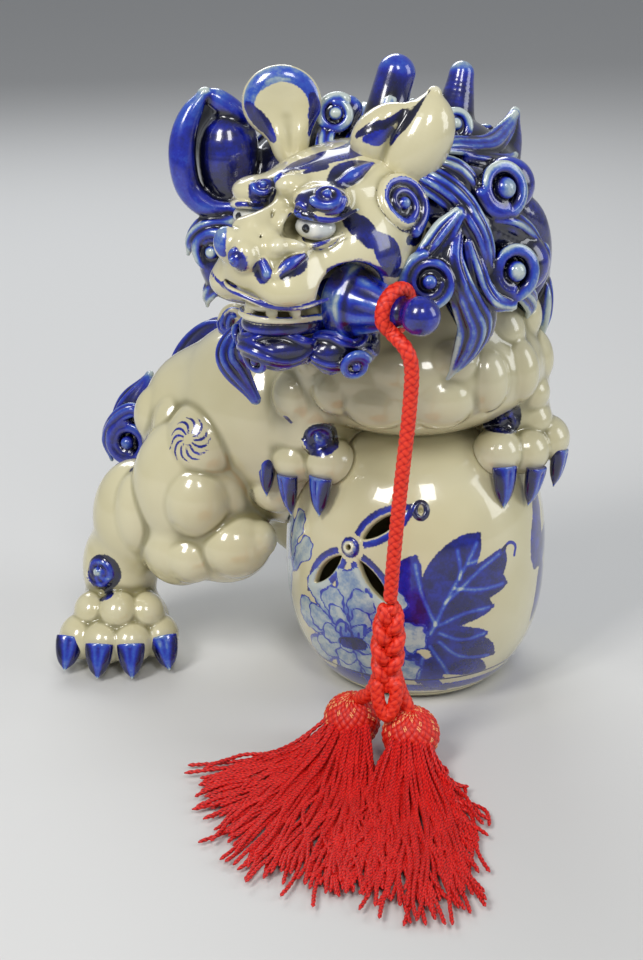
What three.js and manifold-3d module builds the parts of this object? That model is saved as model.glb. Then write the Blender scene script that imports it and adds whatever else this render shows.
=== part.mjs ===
// Guardian lion (shishi) in blue and white porcelain: it stands with its forepaws on a hollow pierced
// ball and holds a bar in its mouth, from which a red braided cord with two tassels hangs.
// Millimetres, +Z up. The origin is the centre of the ball's flat foot, on the surface it stands on.
// The figure's own left is the viewer's right: its body runs along +X, and its head turns to -X -Y.
import * as THREE from "three";
import { mergeVertices } from "three/addons/utils/BufferGeometryUtils.js";
import Module from "manifold-3d";

const wasm = await Module();
wasm.setup();

// ---- driving dimensions ----
const GAP = 0.3; // between neighbouring pieces
const BALL_RADIUS = 46.2; // across, at the widest
const BALL_HALF_HEIGHT = 52;
const BALL_FULLNESS = 2.5; // 2 is an ellipse, and more is fuller between the waist and the ends
const BALL_CENTRE_Z = 45;
const BALL_WALL = 4;
const BALL_SEAM_Z = 38; // where the bowl and the dome are luted together
const FOOT_HEIGHT = 3;
const PIERCING = { azimuth: -32, elevation: 19, length: 17, width: 9, reach: 13.5 };
const PIERCING_TURNS = [43, 225, 311]; // degrees round the boss
const BOSS_RADIUS = 2.4;

const HEAD_AT = [-25, -40, 168];
const HEAD_TURN = 40; // degrees from -Y towards -X
const EYE = { forward: 31, side: 12.5, up: 8.5, radius: 5.2 };
const BAR = { forward: 18, up: -16.5, knobAt: 42, knobRadius: 6, neckRadius: 4.2 };

const CORD_DIAMETER = 4.4;
const NOOSE_RADIUS = 6.9;
const TASSEL_HEAD = 9.6;
const CORD_STEP = 1.25; // length of one tube step, in cord diameters
const SMALL_LUMP = 30; // lumps up to this half size are faceted more coarsely

const LOOKS = {
  ivory: { color: 0xdedcc6, roughness: 0.12, metalness: 0 },
  cobalt: { color: 0x1a2f9e, roughness: 0.12, metalness: 0 },
  eye: { color: 0xf2f1e6, roughness: 0.08, metalness: 0 },
  red: { color: 0xb8140f, roughness: 0.75, metalness: 0 },
};

// ---- solids ----
const radians = THREE.MathUtils.degToRad;

function solidOf(geometry) {
  geometry.deleteAttribute("normal");
  geometry.deleteAttribute("uv");
  const merged = mergeVertices(geometry, 1e-4);
  return new wasm.Manifold(
    new wasm.Mesh({
      numProp: 3,
      vertProperties: new Float32Array(merged.getAttribute("position").array),
      triVerts: new Uint32Array(merged.index.array),
    }),
  );
}

function geometryOf(solid) {
  const mesh = solid.getMesh();
  const geometry = new THREE.BufferGeometry();
  geometry.setAttribute("position", new THREE.BufferAttribute(mesh.vertProperties, 3));
  geometry.setIndex(new THREE.BufferAttribute(mesh.triVerts, 1));
  return geometry;
}

const union = (solids) => solids.reduce((whole, solid) => whole.add(solid));

// The largest body: a cut may leave crumbs beside it.
const mainBody = (solid) =>
  solid.decompose().reduce((best, body) => (body.volume() > best.volume() ? body : best));

// A rounded lump of clay: its centre, its half sizes, and its turn about the vertical in degrees.
function lump(at, half, { turn = 0, grow = 0 } = {}) {
  const detail = Math.max(...half) > SMALL_LUMP ? 2 : 1;
  const geometry = new THREE.IcosahedronGeometry(1, detail);
  geometry.scale(...half.map((size) => size + grow));
  geometry.rotateZ(radians(turn));
  geometry.translate(...at);
  return solidOf(geometry);
}

// A tapering roll of clay along a curve. The radii are spread evenly from its start to its end.
function roll(points, radii, { sides = 8, steps = 8, grow = 0 } = {}) {
  const curve = new THREE.CatmullRomCurve3(points.map((point) => new THREE.Vector3(...point)));
  const frames = curve.computeFrenetFrames(steps, false);
  const geometry = new THREE.CylinderGeometry(1, 1, 1, sides, steps);
  const position = geometry.getAttribute("position");
  for (let i = 0; i < position.count; i++) {
    const step = Math.round((position.getY(i) + 0.5) * steps);
    const along = (step / steps) * (radii.length - 1);
    const low = Math.min(Math.floor(along), radii.length - 2);
    const radius = THREE.MathUtils.lerp(radii[low], radii[low + 1], along - low) + grow;
    const overhang = step === 0 ? -grow : step === steps ? grow : 0;
    const place = curve
      .getPointAt(step / steps)
      .addScaledVector(frames.normals[step], position.getX(i) * radius)
      .addScaledVector(frames.binormals[step], -position.getZ(i) * radius)
      .addScaledVector(frames.tangents[step], overhang);
    position.setXYZ(i, place.x, place.y, place.z);
  }
  return solidOf(geometry);
}

// A round cord of constant diameter along a curve.
function cordTube(points, grow = 0) {
  const curve = new THREE.CatmullRomCurve3(points.map((point) => new THREE.Vector3(...point)));
  const section = new THREE.Shape();
  const sides = 8;
  for (let i = 0; i < sides; i++) {
    const angle = (i / sides) * 2 * Math.PI;
    const reach = CORD_DIAMETER / 2 + grow;
    const place = [reach * Math.cos(angle), reach * Math.sin(angle)];
    if (i === 0) section.moveTo(...place);
    else section.lineTo(...place);
  }
  const steps = Math.max(4, Math.round(curve.getLength() / (CORD_STEP * CORD_DIAMETER)));
  const geometry = new THREE.ExtrudeGeometry(section, {
    extrudePath: curve,
    steps,
    bevelEnabled: false,
  });
  return solidOf(geometry);
}

// A point given in the head's frame: forward to the nose, to the lion's left, and up.
function inHead([forward, left, up]) {
  const turn = radians(HEAD_TURN);
  return [
    HEAD_AT[0] - forward * Math.sin(turn) + left * Math.cos(turn),
    HEAD_AT[1] - forward * Math.cos(turn) - left * Math.sin(turn),
    HEAD_AT[2] + up,
  ];
}

// Lumps whose half sizes are also forward, left and up in the head's frame.
const headLump = ([at, half], options) =>
  lump(inHead(at), half, { turn: -90 - HEAD_TURN, ...options });

const mirrored = ([[forward, left, up], half]) => [[forward, -left, up], half];

// ---- the pierced ball ----
// Points up the ball's outline from one height to another, evenly spaced in angle. An inset gives
// the outline of the hollow inside a wall of that thickness.
function ballOutline(fromZ, toZ, inset, count) {
  const height = BALL_HALF_HEIGHT - inset;
  const power = 2 / BALL_FULLNESS;
  const signedPower = (value, exponent) => Math.sign(value) * Math.abs(value) ** exponent;
  const angleAt = (z) => {
    const share = THREE.MathUtils.clamp((z - BALL_CENTRE_Z) / height, -1, 1);
    return Math.asin(signedPower(share, 1 / power));
  };
  const points = [];
  for (let i = 0; i <= count; i++) {
    const angle = THREE.MathUtils.lerp(angleAt(fromZ), angleAt(toZ), i / count);
    const x = (BALL_RADIUS - inset) * Math.max(Math.cos(angle), 0) ** power;
    const z = BALL_CENTRE_Z + height * signedPower(Math.sin(angle), power);
    points.push(new THREE.Vector2(x < 1e-3 ? 0 : x, z));
  }
  return points;
}

function turned(profile, segments = 32) {
  const geometry = new THREE.LatheGeometry(profile, segments);
  geometry.rotateX(Math.PI / 2);
  return solidOf(geometry);
}

const ballTop = BALL_CENTRE_Z + BALL_HALF_HEIGHT;

// The whole ball without its hollow, which keeps other pieces out.
function ballBlank(grow) {
  return turned([new THREE.Vector2(0, 0), ...ballOutline(0, ballTop + grow, -grow, 13)]);
}

function domeBlank() {
  const inner = ballOutline(ballTop - BALL_WALL, BALL_SEAM_Z, BALL_WALL, 7);
  const outer = ballOutline(BALL_SEAM_Z, ballTop, 0, 9);
  return turned([...inner, ...outer]);
}

function bowl() {
  const floorZ = FOOT_HEIGHT + GAP;
  const outer = ballOutline(floorZ, BALL_SEAM_Z - GAP, 0, 5);
  const inner = ballOutline(BALL_SEAM_Z - GAP, floorZ + BALL_WALL, BALL_WALL, 4);
  const onAxis = (z) => new THREE.Vector2(0, z);
  return turned([onAxis(floorZ), ...outer, ...inner, onAxis(floorZ + BALL_WALL)]);
}

function foot() {
  const rim = ballOutline(0, FOOT_HEIGHT, 0, 1);
  return turned([new THREE.Vector2(0, 0), ...rim, new THREE.Vector2(0, FOOT_HEIGHT)]);
}

const CUTTER_LENGTH = 40;

// A cutter along the ball's radius: an almond between two arcs, or a round hole.
function piercingCutter(turn) {
  const { azimuth, elevation, length, width, reach } = PIERCING;
  const almond = new THREE.Shape();
  almond.moveTo(reach - length / 2, 0);
  almond.quadraticCurveTo(reach, width, reach + length / 2, 0);
  almond.quadraticCurveTo(reach, -width, reach - length / 2, 0);
  const geometry = new THREE.ExtrudeGeometry(almond, {
    depth: CUTTER_LENGTH,
    bevelEnabled: false,
    curveSegments: 4,
  });
  geometry.rotateZ(radians(turn));
  geometry.translate(0, 0, BALL_RADIUS - CUTTER_LENGTH / 2);
  geometry.rotateX(Math.PI / 2); // its depth now runs along -Y, with Z up
  geometry.rotateX(radians(-elevation));
  geometry.rotateZ(radians(azimuth));
  geometry.translate(0, 0, BALL_CENTRE_Z);
  return solidOf(geometry);
}

function bossHole() {
  const radius = BOSS_RADIUS / 2;
  const geometry = new THREE.CylinderGeometry(radius, radius, CUTTER_LENGTH, 8);
  geometry.translate(0, -BALL_RADIUS, 0);
  geometry.rotateX(radians(-PIERCING.elevation));
  geometry.rotateZ(radians(PIERCING.azimuth));
  geometry.translate(0, 0, BALL_CENTRE_Z);
  return solidOf(geometry);
}

function dome() {
  return PIERCING_TURNS.reduce((body, turn) => body.subtract(piercingCutter(turn)), domeBlank());
}

// ---- the body ----
const TORSO = {
  ribcage: [[-3, -4, 117], [46, 41, 25], 0],
  shoulders: [[0, 0, 134], [40, 32, 20], 0],
  flank: [[-50, 12, 95], [38, 31, 32], -29],
  rump: [[-78, 24, 84], [21, 23, 28], -29],
  belly: [[-42, 8, 76], [24, 22, 24], 0],
  tail_root: [[-90, 44, 84], [13, 12, 13], 0],
};

const LEGS = {
  right_foreleg: {
    lumps: [[[-36, -13, 106], [15, 15, 15]], [[-37, -13, 94], [14, 13, 11]]],
    toes: [[[-48, -9, 88], 8], [[-41, -15, 85], 8], [[-31, -20, 86], 8]],
    claws: [
      [[-50, -13, 82], [-51, -15, 72]],
      [[-43, -21, 79], [-42, -22, 68]],
      [[-33, -26, 80], [-34, -27.5, 70]],
    ],
  },
  left_foreleg: {
    lumps: [[[30, -4, 108], [15, 15, 15]], [[32, -7, 97], [14, 13, 11]]],
    toes: [[[25, -20, 91], 8.5], [[36, -14, 90], 8.5], [[44, -6, 92], 7.5]],
    claws: [
      [[27, -28, 86], [27.5, -31, 75]],
      [[39, -20, 84], [37, -21, 73]],
      [[47, -10, 87], [46, -12, 76]],
    ],
  },
  right_hind_leg: {
    lumps: [
      [[-78, 2, 68], [23, 17, 27]],
      [[-68, -2, 48], [17, 14, 15]],
      [[-84, 0, 45], [14, 13, 14]],
      [[-101, 12, 52], [16, 15, 22]],
      [[-108, 15, 31], [14, 14, 20]],
      [[-108, 10, 12], [18, 16, 14]],
    ],
    toes: [[[-120, 0, 9], 8.5], [[-112, -4, 9], 8.5], [[-102, -4, 9], 8.5], [[-94, 1, 9], 8.5]],
    claws: [
      [[-124, -5, 8], [-125, -11, 2.6]],
      [[-113, -11, 8], [-113, -17, 2.6]],
      [[-102, -11, 8], [-101, -17, 2.6]],
      [[-91, -5, 8], [-89, -11, 2.6]],
    ],
  },
  left_hind_leg: {
    lumps: [
      [[-54, 40, 64], [20, 15, 24]],
      [[-42, 48, 42], [14, 13, 18]],
      [[-34, 51, 27], [13, 12, 15]],
      [[-24, 55, 13], [17, 14, 15]],
    ],
    toes: [[[-6, 64, 9], 8], [[-6, 56, 9], 8.5], [[-13, 70, 9], 8], [[-12, 48, 9], 8]],
    claws: [
      [[2, 66, 7], [8, 66, 2.2]],
      [[2, 55, 7], [8, 54, 2.2]],
      [[-6, 75, 7], [-1, 78, 2.2]],
      [[-5, 46, 7], [1, 43, 2.2]],
    ],
  },
};
const CLAW_RADII = [3.6, 2.4, 0.7];
const GROUND_SIZE = 400;

// Everything below the surface that the figure stands on.
function ground() {
  const geometry = new THREE.BoxGeometry(GROUND_SIZE, GROUND_SIZE, GROUND_SIZE);
  geometry.translate(0, 0, -GROUND_SIZE / 2);
  return solidOf(geometry);
}

const legSolid = ({ lumps, toes }, grow) =>
  union([
    ...lumps.map(([at, half]) => lump(at, half, { grow })),
    ...toes.map(([at, radius]) => lump(at, [radius, radius, radius], { grow })),
  ]);

const clawSolid = (points, grow) => roll(points, CLAW_RADII, { sides: 6, steps: 3, grow });

const torsoSolid = (grow) =>
  union(Object.values(TORSO).map(([at, half, turn]) => lump(at, half, { turn, grow })));

// ---- the head ----
const SKULL = {
  cranium: [[-2, 0, 4], [30, 27, 25]],
  forehead: [[13, 0, 15], [19, 19, 11]],
  muzzle: [[30, 0, -4], [22, 18, 12]],
  nose: [[49, -1, 3], [6, 8, 6]],
};
const CHEEK = [[14, 18, -2], [17, 11, 15]];
const LIP = [[38, 10, -9], [12, 9, 7]];
const BROW = [[29, 13, 17], [8, 10, 4.5]];
const JAW = [[26, 0, -22], [20, 14, 6]];
const TONGUE = [[30, 0, -16.5], [15, 10, 3]];
const BEARD = { middle: [[30, 0, -29], [16, 13, 6]], side: [[18, 13, -31], [13, 9, 6]] };

const skullSolid = (grow) =>
  union(
    [...Object.values(SKULL), ...[CHEEK, LIP, BROW].flatMap((part) => [part, mirrored(part)])].map(
      (part) => headLump(part, { grow }),
    ),
  );

// The bar lies across the mouth: bead, bulging collar, tapering neck and round knob, about its axis.
function barSolid(grow) {
  const { forward, up, knobAt, knobRadius, neckRadius } = BAR;
  const profile = [
    [0, -14], [3.2, -14], [3.6, 4], [5.6, 8], [4.6, 11], [8.8, 14], [9.2, 18], [7.4, 22],
    [5.6, 29], [neckRadius, knobAt - 5.4],
  ];
  for (let angle = -40; angle <= 60; angle += 25) {
    profile.push([
      knobRadius * Math.cos(radians(angle)),
      knobAt + knobRadius * Math.sin(radians(angle)),
    ]);
  }
  profile.push([0, knobAt + knobRadius]);
  const last = profile.length - 1;
  const points = profile.map(([radius, along], i) => {
    const onAxis = i === 0 || i === last;
    const overhang = i <= 1 ? -grow : i === last ? grow : 0;
    return new THREE.Vector2(onAxis ? 0 : radius + grow, along + overhang);
  });
  const geometry = new THREE.LatheGeometry(points, 12);
  geometry.rotateX(Math.PI / 2);
  geometry.rotateY(Math.PI / 2);
  geometry.rotateZ(radians(-HEAD_TURN));
  geometry.translate(...inHead([forward, 0, up]));
  return solidOf(geometry);
}

const rightEar = (grow) =>
  union([
    lump([-46, -31, 207], [12.5, 4.5, 11.5], { grow }),
    lump([-43.5, -32, 196], [6.5, 4.5, 9], { grow }),
  ]);
const leftEar = (grow) =>
  roll([[-17, -46, 187], [-13, -48, 199], [-6, -47, 206], [5, -41, 211]], [6, 10, 9, 2], { grow });

// ---- the mane ----
const MANE_CAP = {
  crown: [[0, -8, 168], [37, 29, 35], 0],
  far: [[-36, -14, 172], [27, 22, 29], 0],
  nape: [[8, 4, 146], [38, 28, 24], 0],
};
// Locks are rolls that taper to a point or end in a spiral: [points, radii].
const LOCKS = {
  far_mane_lobe: [[[-60, -24, 158], [-70, -24, 172], [-72, -22, 190], [-73, -20, 208]], [6, 12, 10, 1.5]],
  far_mane_curl: [[[-58, -26, 170], [-67, -28, 161], [-64, -31, 150], [-55, -32, 143]], [6, 8, 8, 5]],
  front_crest_tuft: [[[-14, -14, 194], [-13, -8, 208], [-10, 0, 219]], [9, 7, 3]],
  middle_crest_tuft: [[[8, -4, 192], [11, 4, 204], [12, 10, 215]], [9, 7, 2.5]],
  rear_crest_tuft: [[[22, -4, 180], [27, 6, 190], [31, 10, 199]], [9, 7, 2]],
  crown_curl: [[[-34, -24, 190], [-29, -22, 200], [-24, -16, 207]], [7, 7, 4]],
  upper_mane_lock: [[[-6, -50, 186], [8, -42, 184], [18, -30, 178], [24, -22, 176]], [5, 7, 8, 7]],
  middle_mane_lock: [[[-2, -54, 176], [12, -48, 172], [24, -36, 164], [30, -28, 156]], [5, 7, 8, 8]],
  lower_mane_lock: [[[4, -52, 160], [14, -50, 150], [17, -49, 139], [13, -50, 127]], [6, 7, 6, 1.2]],
  outer_mane_lock: [[[22, -22, 174], [32, -14, 166], [36, -9, 151], [35, -12, 137]], [7, 8, 7, 2]],
};
const SPIRALS = {
  upper_mane_spiral: [[26, -22, 179], [9, 6, 9]],
  middle_mane_spiral: [[33, -30, 157], [10, 6, 10]],
  bar_spiral: [[0, -57, 157], [11, 8, 10]],
};
const BODY_CURLS = {
  crescent_curl: [[[-57, -38, 138], [-62, -37, 126], [-55, -36, 113]], [2, 4.5, 2]],
  hook_curl: [[[-60, -6, 124], [-65, -6, 128], [-63, -7, 133], [-58, -8, 131]], [2, 3.6, 3.6, 2.5]],
};
const TAIL = {
  tail_plume: [[[-98, 36, 62], [-108, 40, 70], [-106, 42, 84], [-96, 40, 97]], [6, 9, 9, 1.5]],
  tail_lock: [[[-84, 58, 80], [-82, 68, 92], [-74, 68, 104], [-66, 60, 112]], [7, 10, 8, 1.5]],
};

const capSolid = (parts, grow) =>
  union(Object.values(parts).map(([at, half, turn]) => lump(at, half, { turn, grow })));

// ---- the cord and its tassels ----
const knob = inHead([BAR.forward, BAR.knobAt, BAR.up]);
const noose = inHead([BAR.forward, BAR.knobAt - 8.4, BAR.up]);

// The cord's turn round the bar's neck, from under the knob, up in front, over and down behind.
function noosePoint(angle, along = 0) {
  const turn = radians(HEAD_TURN);
  const out = NOOSE_RADIUS * Math.cos(radians(angle));
  return [
    noose[0] - out * Math.sin(turn) + along * Math.cos(turn),
    noose[1] - out * Math.cos(turn) - along * Math.sin(turn),
    noose[2] + NOOSE_RADIUS * Math.sin(radians(angle)),
  ];
}
const KNOT_TOP = [-12, -77, 57];
const CORD_DROP = [
  noosePoint(-96, -2.4),
  noosePoint(-150, -1.6),
  noosePoint(165, -0.8),
  noosePoint(120, 0),
  noosePoint(75, 0),
  noosePoint(30, -0.4),
  noosePoint(-15, -0.6),
  noosePoint(-50, 1),
  [knob[0] - 4.2, knob[1] - 2.2, knob[2] - 9.6],
  [knob[0] - 2.4, knob[1] - 2, knob[2] - 16],
  [-7.2, -81, 122],
  [-8.4, -80.5, 108],
  [-9.6, -79.5, 94],
  [-10.6, -78.5, 80],
  [-11.4, -77.6, 68],
  [KNOT_TOP[0], KNOT_TOP[1], KNOT_TOP[2] + GAP],
];
const KNOT = [
  [[-12, -76.4, 48], [6.2, 5, 9]],
  [[-13, -75, 36], [6.6, 5, 9.4]],
];
const BIGHT = [
  [-12.6, -75, 26],
  [-12, -76.5, 21],
  [-11, -77.5, 17.5],
];
const TASSELS = {
  right: {
    head: [-23.5, -65, 9.9],
    leg: [[-16.5, -74, 27], [-18.5, -72, 22.5], [-20.5, -68.6, 20]],
    skirt: [[-27, -75, 8], [-38, -102, 5.5], [-50, -137, 4]],
    spread: [9, 22, 29],
    height: [8, 5.2, 3.4],
  },
  left: {
    head: [-4.5, -75, 9.9],
    leg: [[-8.6, -73.6, 27], [-7.2, -74, 23], [-5.8, -74.8, 20]],
    skirt: [[-4.6, -86, 8], [-5, -116, 5.5], [-7, -154, 4]],
    spread: [9, 16, 21],
    height: [8, 5.2, 3.4],
  },
};

const knotSolid = (grow) =>
  union([...KNOT.map(([at, half]) => lump(at, half, { grow })), cordTube(BIGHT, grow)]);

// A tassel's skirt fanned out on the surface: a flattened roll, as wide as spread and as high as height.
function skirtSolid({ skirt, spread, height }, grow) {
  const curve = new THREE.CatmullRomCurve3(skirt.map((point) => new THREE.Vector3(...point)));
  const steps = 6;
  const geometry = new THREE.CylinderGeometry(1, 1, 1, 12, steps);
  const position = geometry.getAttribute("position");
  const share = (values, along) => {
    const low = Math.min(Math.floor(along), values.length - 2);
    return THREE.MathUtils.lerp(values[low], values[low + 1], along - low);
  };
  for (let i = 0; i < position.count; i++) {
    const step = Math.round((position.getY(i) + 0.5) * steps);
    const along = (step / steps) * (spread.length - 1);
    const centre = curve.getPointAt(step / steps);
    const tangent = curve.getTangentAt(step / steps).setZ(0).normalize();
    const side = new THREE.Vector3(tangent.y, -tangent.x, 0);
    const overhang = step === 0 ? -grow : step === steps ? grow : 0;
    centre.addScaledVector(side, position.getX(i) * (share(spread, along) + grow));
    centre.addScaledVector(tangent, overhang);
    const halfHeight = share(height, along);
    centre.z = 0.1 + halfHeight + position.getZ(i) * (halfHeight + grow);
    position.setXYZ(i, centre.x, centre.y, centre.z);
  }
  return solidOf(geometry);
}

// ---- assembly ----
// Pieces come in the order in which they keep their shape: each is cut clear of all those before it.
const statue = new THREE.Group();
const headGroup = new THREE.Group();
headGroup.position.set(...HEAD_AT);
headGroup.rotation.z = radians(-90 - HEAD_TURN);
statue.add(headGroup);
statue.updateMatrixWorld(true);

const keepOuts = [];

function add(name, look, build, { group = statue, keepOut = build, grounded = false } = {}) {
  let solid = build(0);
  for (const other of keepOuts) solid = solid.subtract(other);
  if (grounded) solid = solid.subtract(ground());
  if (keepOut) keepOuts.push(keepOut(GAP));
  const geometry = geometryOf(mainBody(solid));
  geometry.applyMatrix4(group.matrixWorld.clone().invert());
  geometry.computeVertexNormals();
  const mesh = new THREE.Mesh(geometry, new THREE.MeshStandardMaterial(LOOKS[look]));
  mesh.name = name;
  group.add(mesh);
}

// The ball's three pieces share one blank as keep-out, added after them.
function addBall() {
  add("ball_foot", "ivory", foot, { keepOut: null });
  add("ball_bowl", "ivory", bowl, { keepOut: null });
  add("ball_dome", "ivory", () => dome().subtract(bossHole()), { keepOut: ballBlank });
}

function addCord() {
  add("cord", "red", (grow) => cordTube(CORD_DROP, grow));
  add("cord_knot", "red", knotSolid);
  for (const [side, tassel] of Object.entries(TASSELS)) {
    const head = (grow) => lump(tassel.head, [TASSEL_HEAD, TASSEL_HEAD, TASSEL_HEAD], { grow });
    add(side + "_tassel_head", "red", head);
    add(side + "_tassel_leg", "red", (grow) => cordTube(tassel.leg, grow));
    add(side + "_tassel_skirt", "red", (grow) => skirtSolid(tassel, grow), { grounded: true });
  }
}

function addHead() {
  const group = headGroup;
  add("mouth_bar", "cobalt", barSolid, { group });
  for (const [side, sign] of [["right", -1], ["left", 1]]) {
    const at = [EYE.forward, sign * EYE.side, EYE.up];
    const half = [EYE.radius, EYE.radius, EYE.radius];
    add(side + "_eye", "eye", (grow) => headLump([at, half], { grow }), { group });
  }
  add("right_ear", "ivory", rightEar, { group });
  add("left_ear", "ivory", leftEar, { group });
  for (const [name, [at, half]] of Object.entries(SPIRALS)) {
    add(name, "cobalt", (grow) => lump(at, half, { grow }), { group });
  }
  for (const [name, [points, radii]] of Object.entries(LOCKS)) {
    add(name, "cobalt", (grow) => roll(points, radii, { grow }), { group });
  }
  add("tongue", "ivory", (grow) => headLump(TONGUE, { grow }), { group });
  add("lower_jaw", "ivory", (grow) => headLump(JAW, { grow }), { group });
  const sides = { right: mirrored(BEARD.side), left: BEARD.side, middle: BEARD.middle };
  for (const [name, part] of Object.entries(sides)) {
    add(name + "_beard_curl", "cobalt", (grow) => headLump(part, { grow }), { group });
  }
  add("head", "ivory", skullSolid, { group });
  add("mane_cap", "cobalt", (grow) => capSolid(MANE_CAP, grow), { group });
}

function addBody() {
  for (const [leg, { claws }] of Object.entries(LEGS)) {
    claws.forEach((points, i) =>
      add(leg.replace("leg", "claw_") + (i + 1), "cobalt", (grow) => clawSolid(points, grow), {
        grounded: true,
      }),
    );
  }
  for (const [name, [points, radii]] of Object.entries({ ...BODY_CURLS, ...TAIL })) {
    add(name, "cobalt", (grow) => roll(points, radii, { grow }));
  }
  for (const [name, leg] of Object.entries(LEGS)) {
    add(name, "ivory", (grow) => legSolid(leg, grow), { grounded: true });
  }
  add("torso", "ivory", torsoSolid);
}

addBall();
addCord();
addHead();
addBody();

export default statue;
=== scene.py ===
"""A glazed porcelain guardian lion on a pierced ball, with a red cord and tassels on its mouth bar.

Lengths are in millimetres until a mesh is made. The porcelain is modelled as clay: a grid that
holds the distance to the surface, to which lumps and rolls are added, and which is then meshed.
"""

import math

import bpy
import numpy as np
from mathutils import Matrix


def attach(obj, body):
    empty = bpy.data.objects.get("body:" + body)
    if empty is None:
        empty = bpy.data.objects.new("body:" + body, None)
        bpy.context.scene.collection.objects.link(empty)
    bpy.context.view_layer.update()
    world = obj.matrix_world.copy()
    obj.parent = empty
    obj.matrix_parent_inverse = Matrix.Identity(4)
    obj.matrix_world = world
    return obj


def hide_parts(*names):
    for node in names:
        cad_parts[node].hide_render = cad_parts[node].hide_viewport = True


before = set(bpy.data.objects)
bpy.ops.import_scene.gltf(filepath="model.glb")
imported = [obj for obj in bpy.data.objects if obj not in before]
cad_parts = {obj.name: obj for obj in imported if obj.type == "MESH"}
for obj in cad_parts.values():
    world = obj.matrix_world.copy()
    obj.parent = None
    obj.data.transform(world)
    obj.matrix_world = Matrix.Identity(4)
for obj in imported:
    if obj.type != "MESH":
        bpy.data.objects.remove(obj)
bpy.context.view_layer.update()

import openvdb
from mathutils import Vector

MM = 0.001
REACH = 4.5  # how far round a lump its distance is worked out
FAR = 12.0
BALL_VOXEL, BODY_VOXEL, MANE_VOXEL, HEAD_VOXEL = 0.52, 0.8, 0.58, 0.5
CURL_VOXEL, EAR_VOXEL, FINE_VOXEL = 0.45, 0.4, 0.34


# ---- camera, light and floor ----
CAMERA_AT = (-0.0336, -0.5809, 0.2821)
CAMERA_TILT = 70.0
CAMERA_LENS = 65.4


def add_camera():
    data = bpy.data.cameras.new("camera")
    data.lens = CAMERA_LENS
    data.sensor_width = 36
    camera = bpy.data.objects.new("camera", data)
    camera.location = CAMERA_AT
    camera.rotation_euler = (math.radians(CAMERA_TILT), 0, 0)
    bpy.context.scene.collection.objects.link(camera)
    bpy.context.scene.camera = camera


def add_light(name, at, aim, size, watts, colour=(1, 1, 1)):
    data = bpy.data.lights.new(name, "AREA")
    data.shape = "RECTANGLE"
    data.size, data.size_y = size
    data.energy = watts
    data.color = colour
    light = bpy.data.objects.new(name, data)
    light.location = at
    light.rotation_euler = (Vector(aim) - Vector(at)).to_track_quat("-Z", "Y").to_euler()
    bpy.context.scene.collection.objects.link(light)


def add_lights():
    middle = (-0.02, 0, 0.11)
    add_light("window_left", (-0.62, -0.75, 0.95), middle, (0.34, 0.5), 8.5, (1, 0.98, 0.95))
    add_light("window_right", (0.18, -0.95, 1.05), middle, (0.3, 0.42), 4.5, (1, 0.99, 0.97))
    add_light("side", (1.1, -0.2, 0.6), middle, (0.5, 0.8), 4.5, (0.95, 0.97, 1))
    add_light("back", (-0.3, 1.0, 0.9), middle, (0.9, 0.5), 7, (0.95, 0.97, 1))
    world = bpy.data.worlds.new("studio")
    world.use_nodes = True
    background = world.node_tree.nodes["Background"]
    background.inputs["Color"].default_value = (0.78, 0.81, 0.86, 1)
    background.inputs["Strength"].default_value = 0.36
    bpy.context.scene.world = world
    bpy.context.scene.view_settings.view_transform = "Standard"


def add_floor():
    bpy.ops.mesh.primitive_plane_add(size=8, location=(0, 0, -0.0004))
    floor = bpy.context.object
    floor.name = "floor"
    material = bpy.data.materials.new("floor")
    material.use_nodes = True
    shader = material.node_tree.nodes["Principled BSDF"]
    shader.inputs["Base Color"].default_value = (0.62, 0.62, 0.61, 1)
    shader.inputs["Roughness"].default_value = 0.7
    floor.data.materials.append(material)


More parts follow.
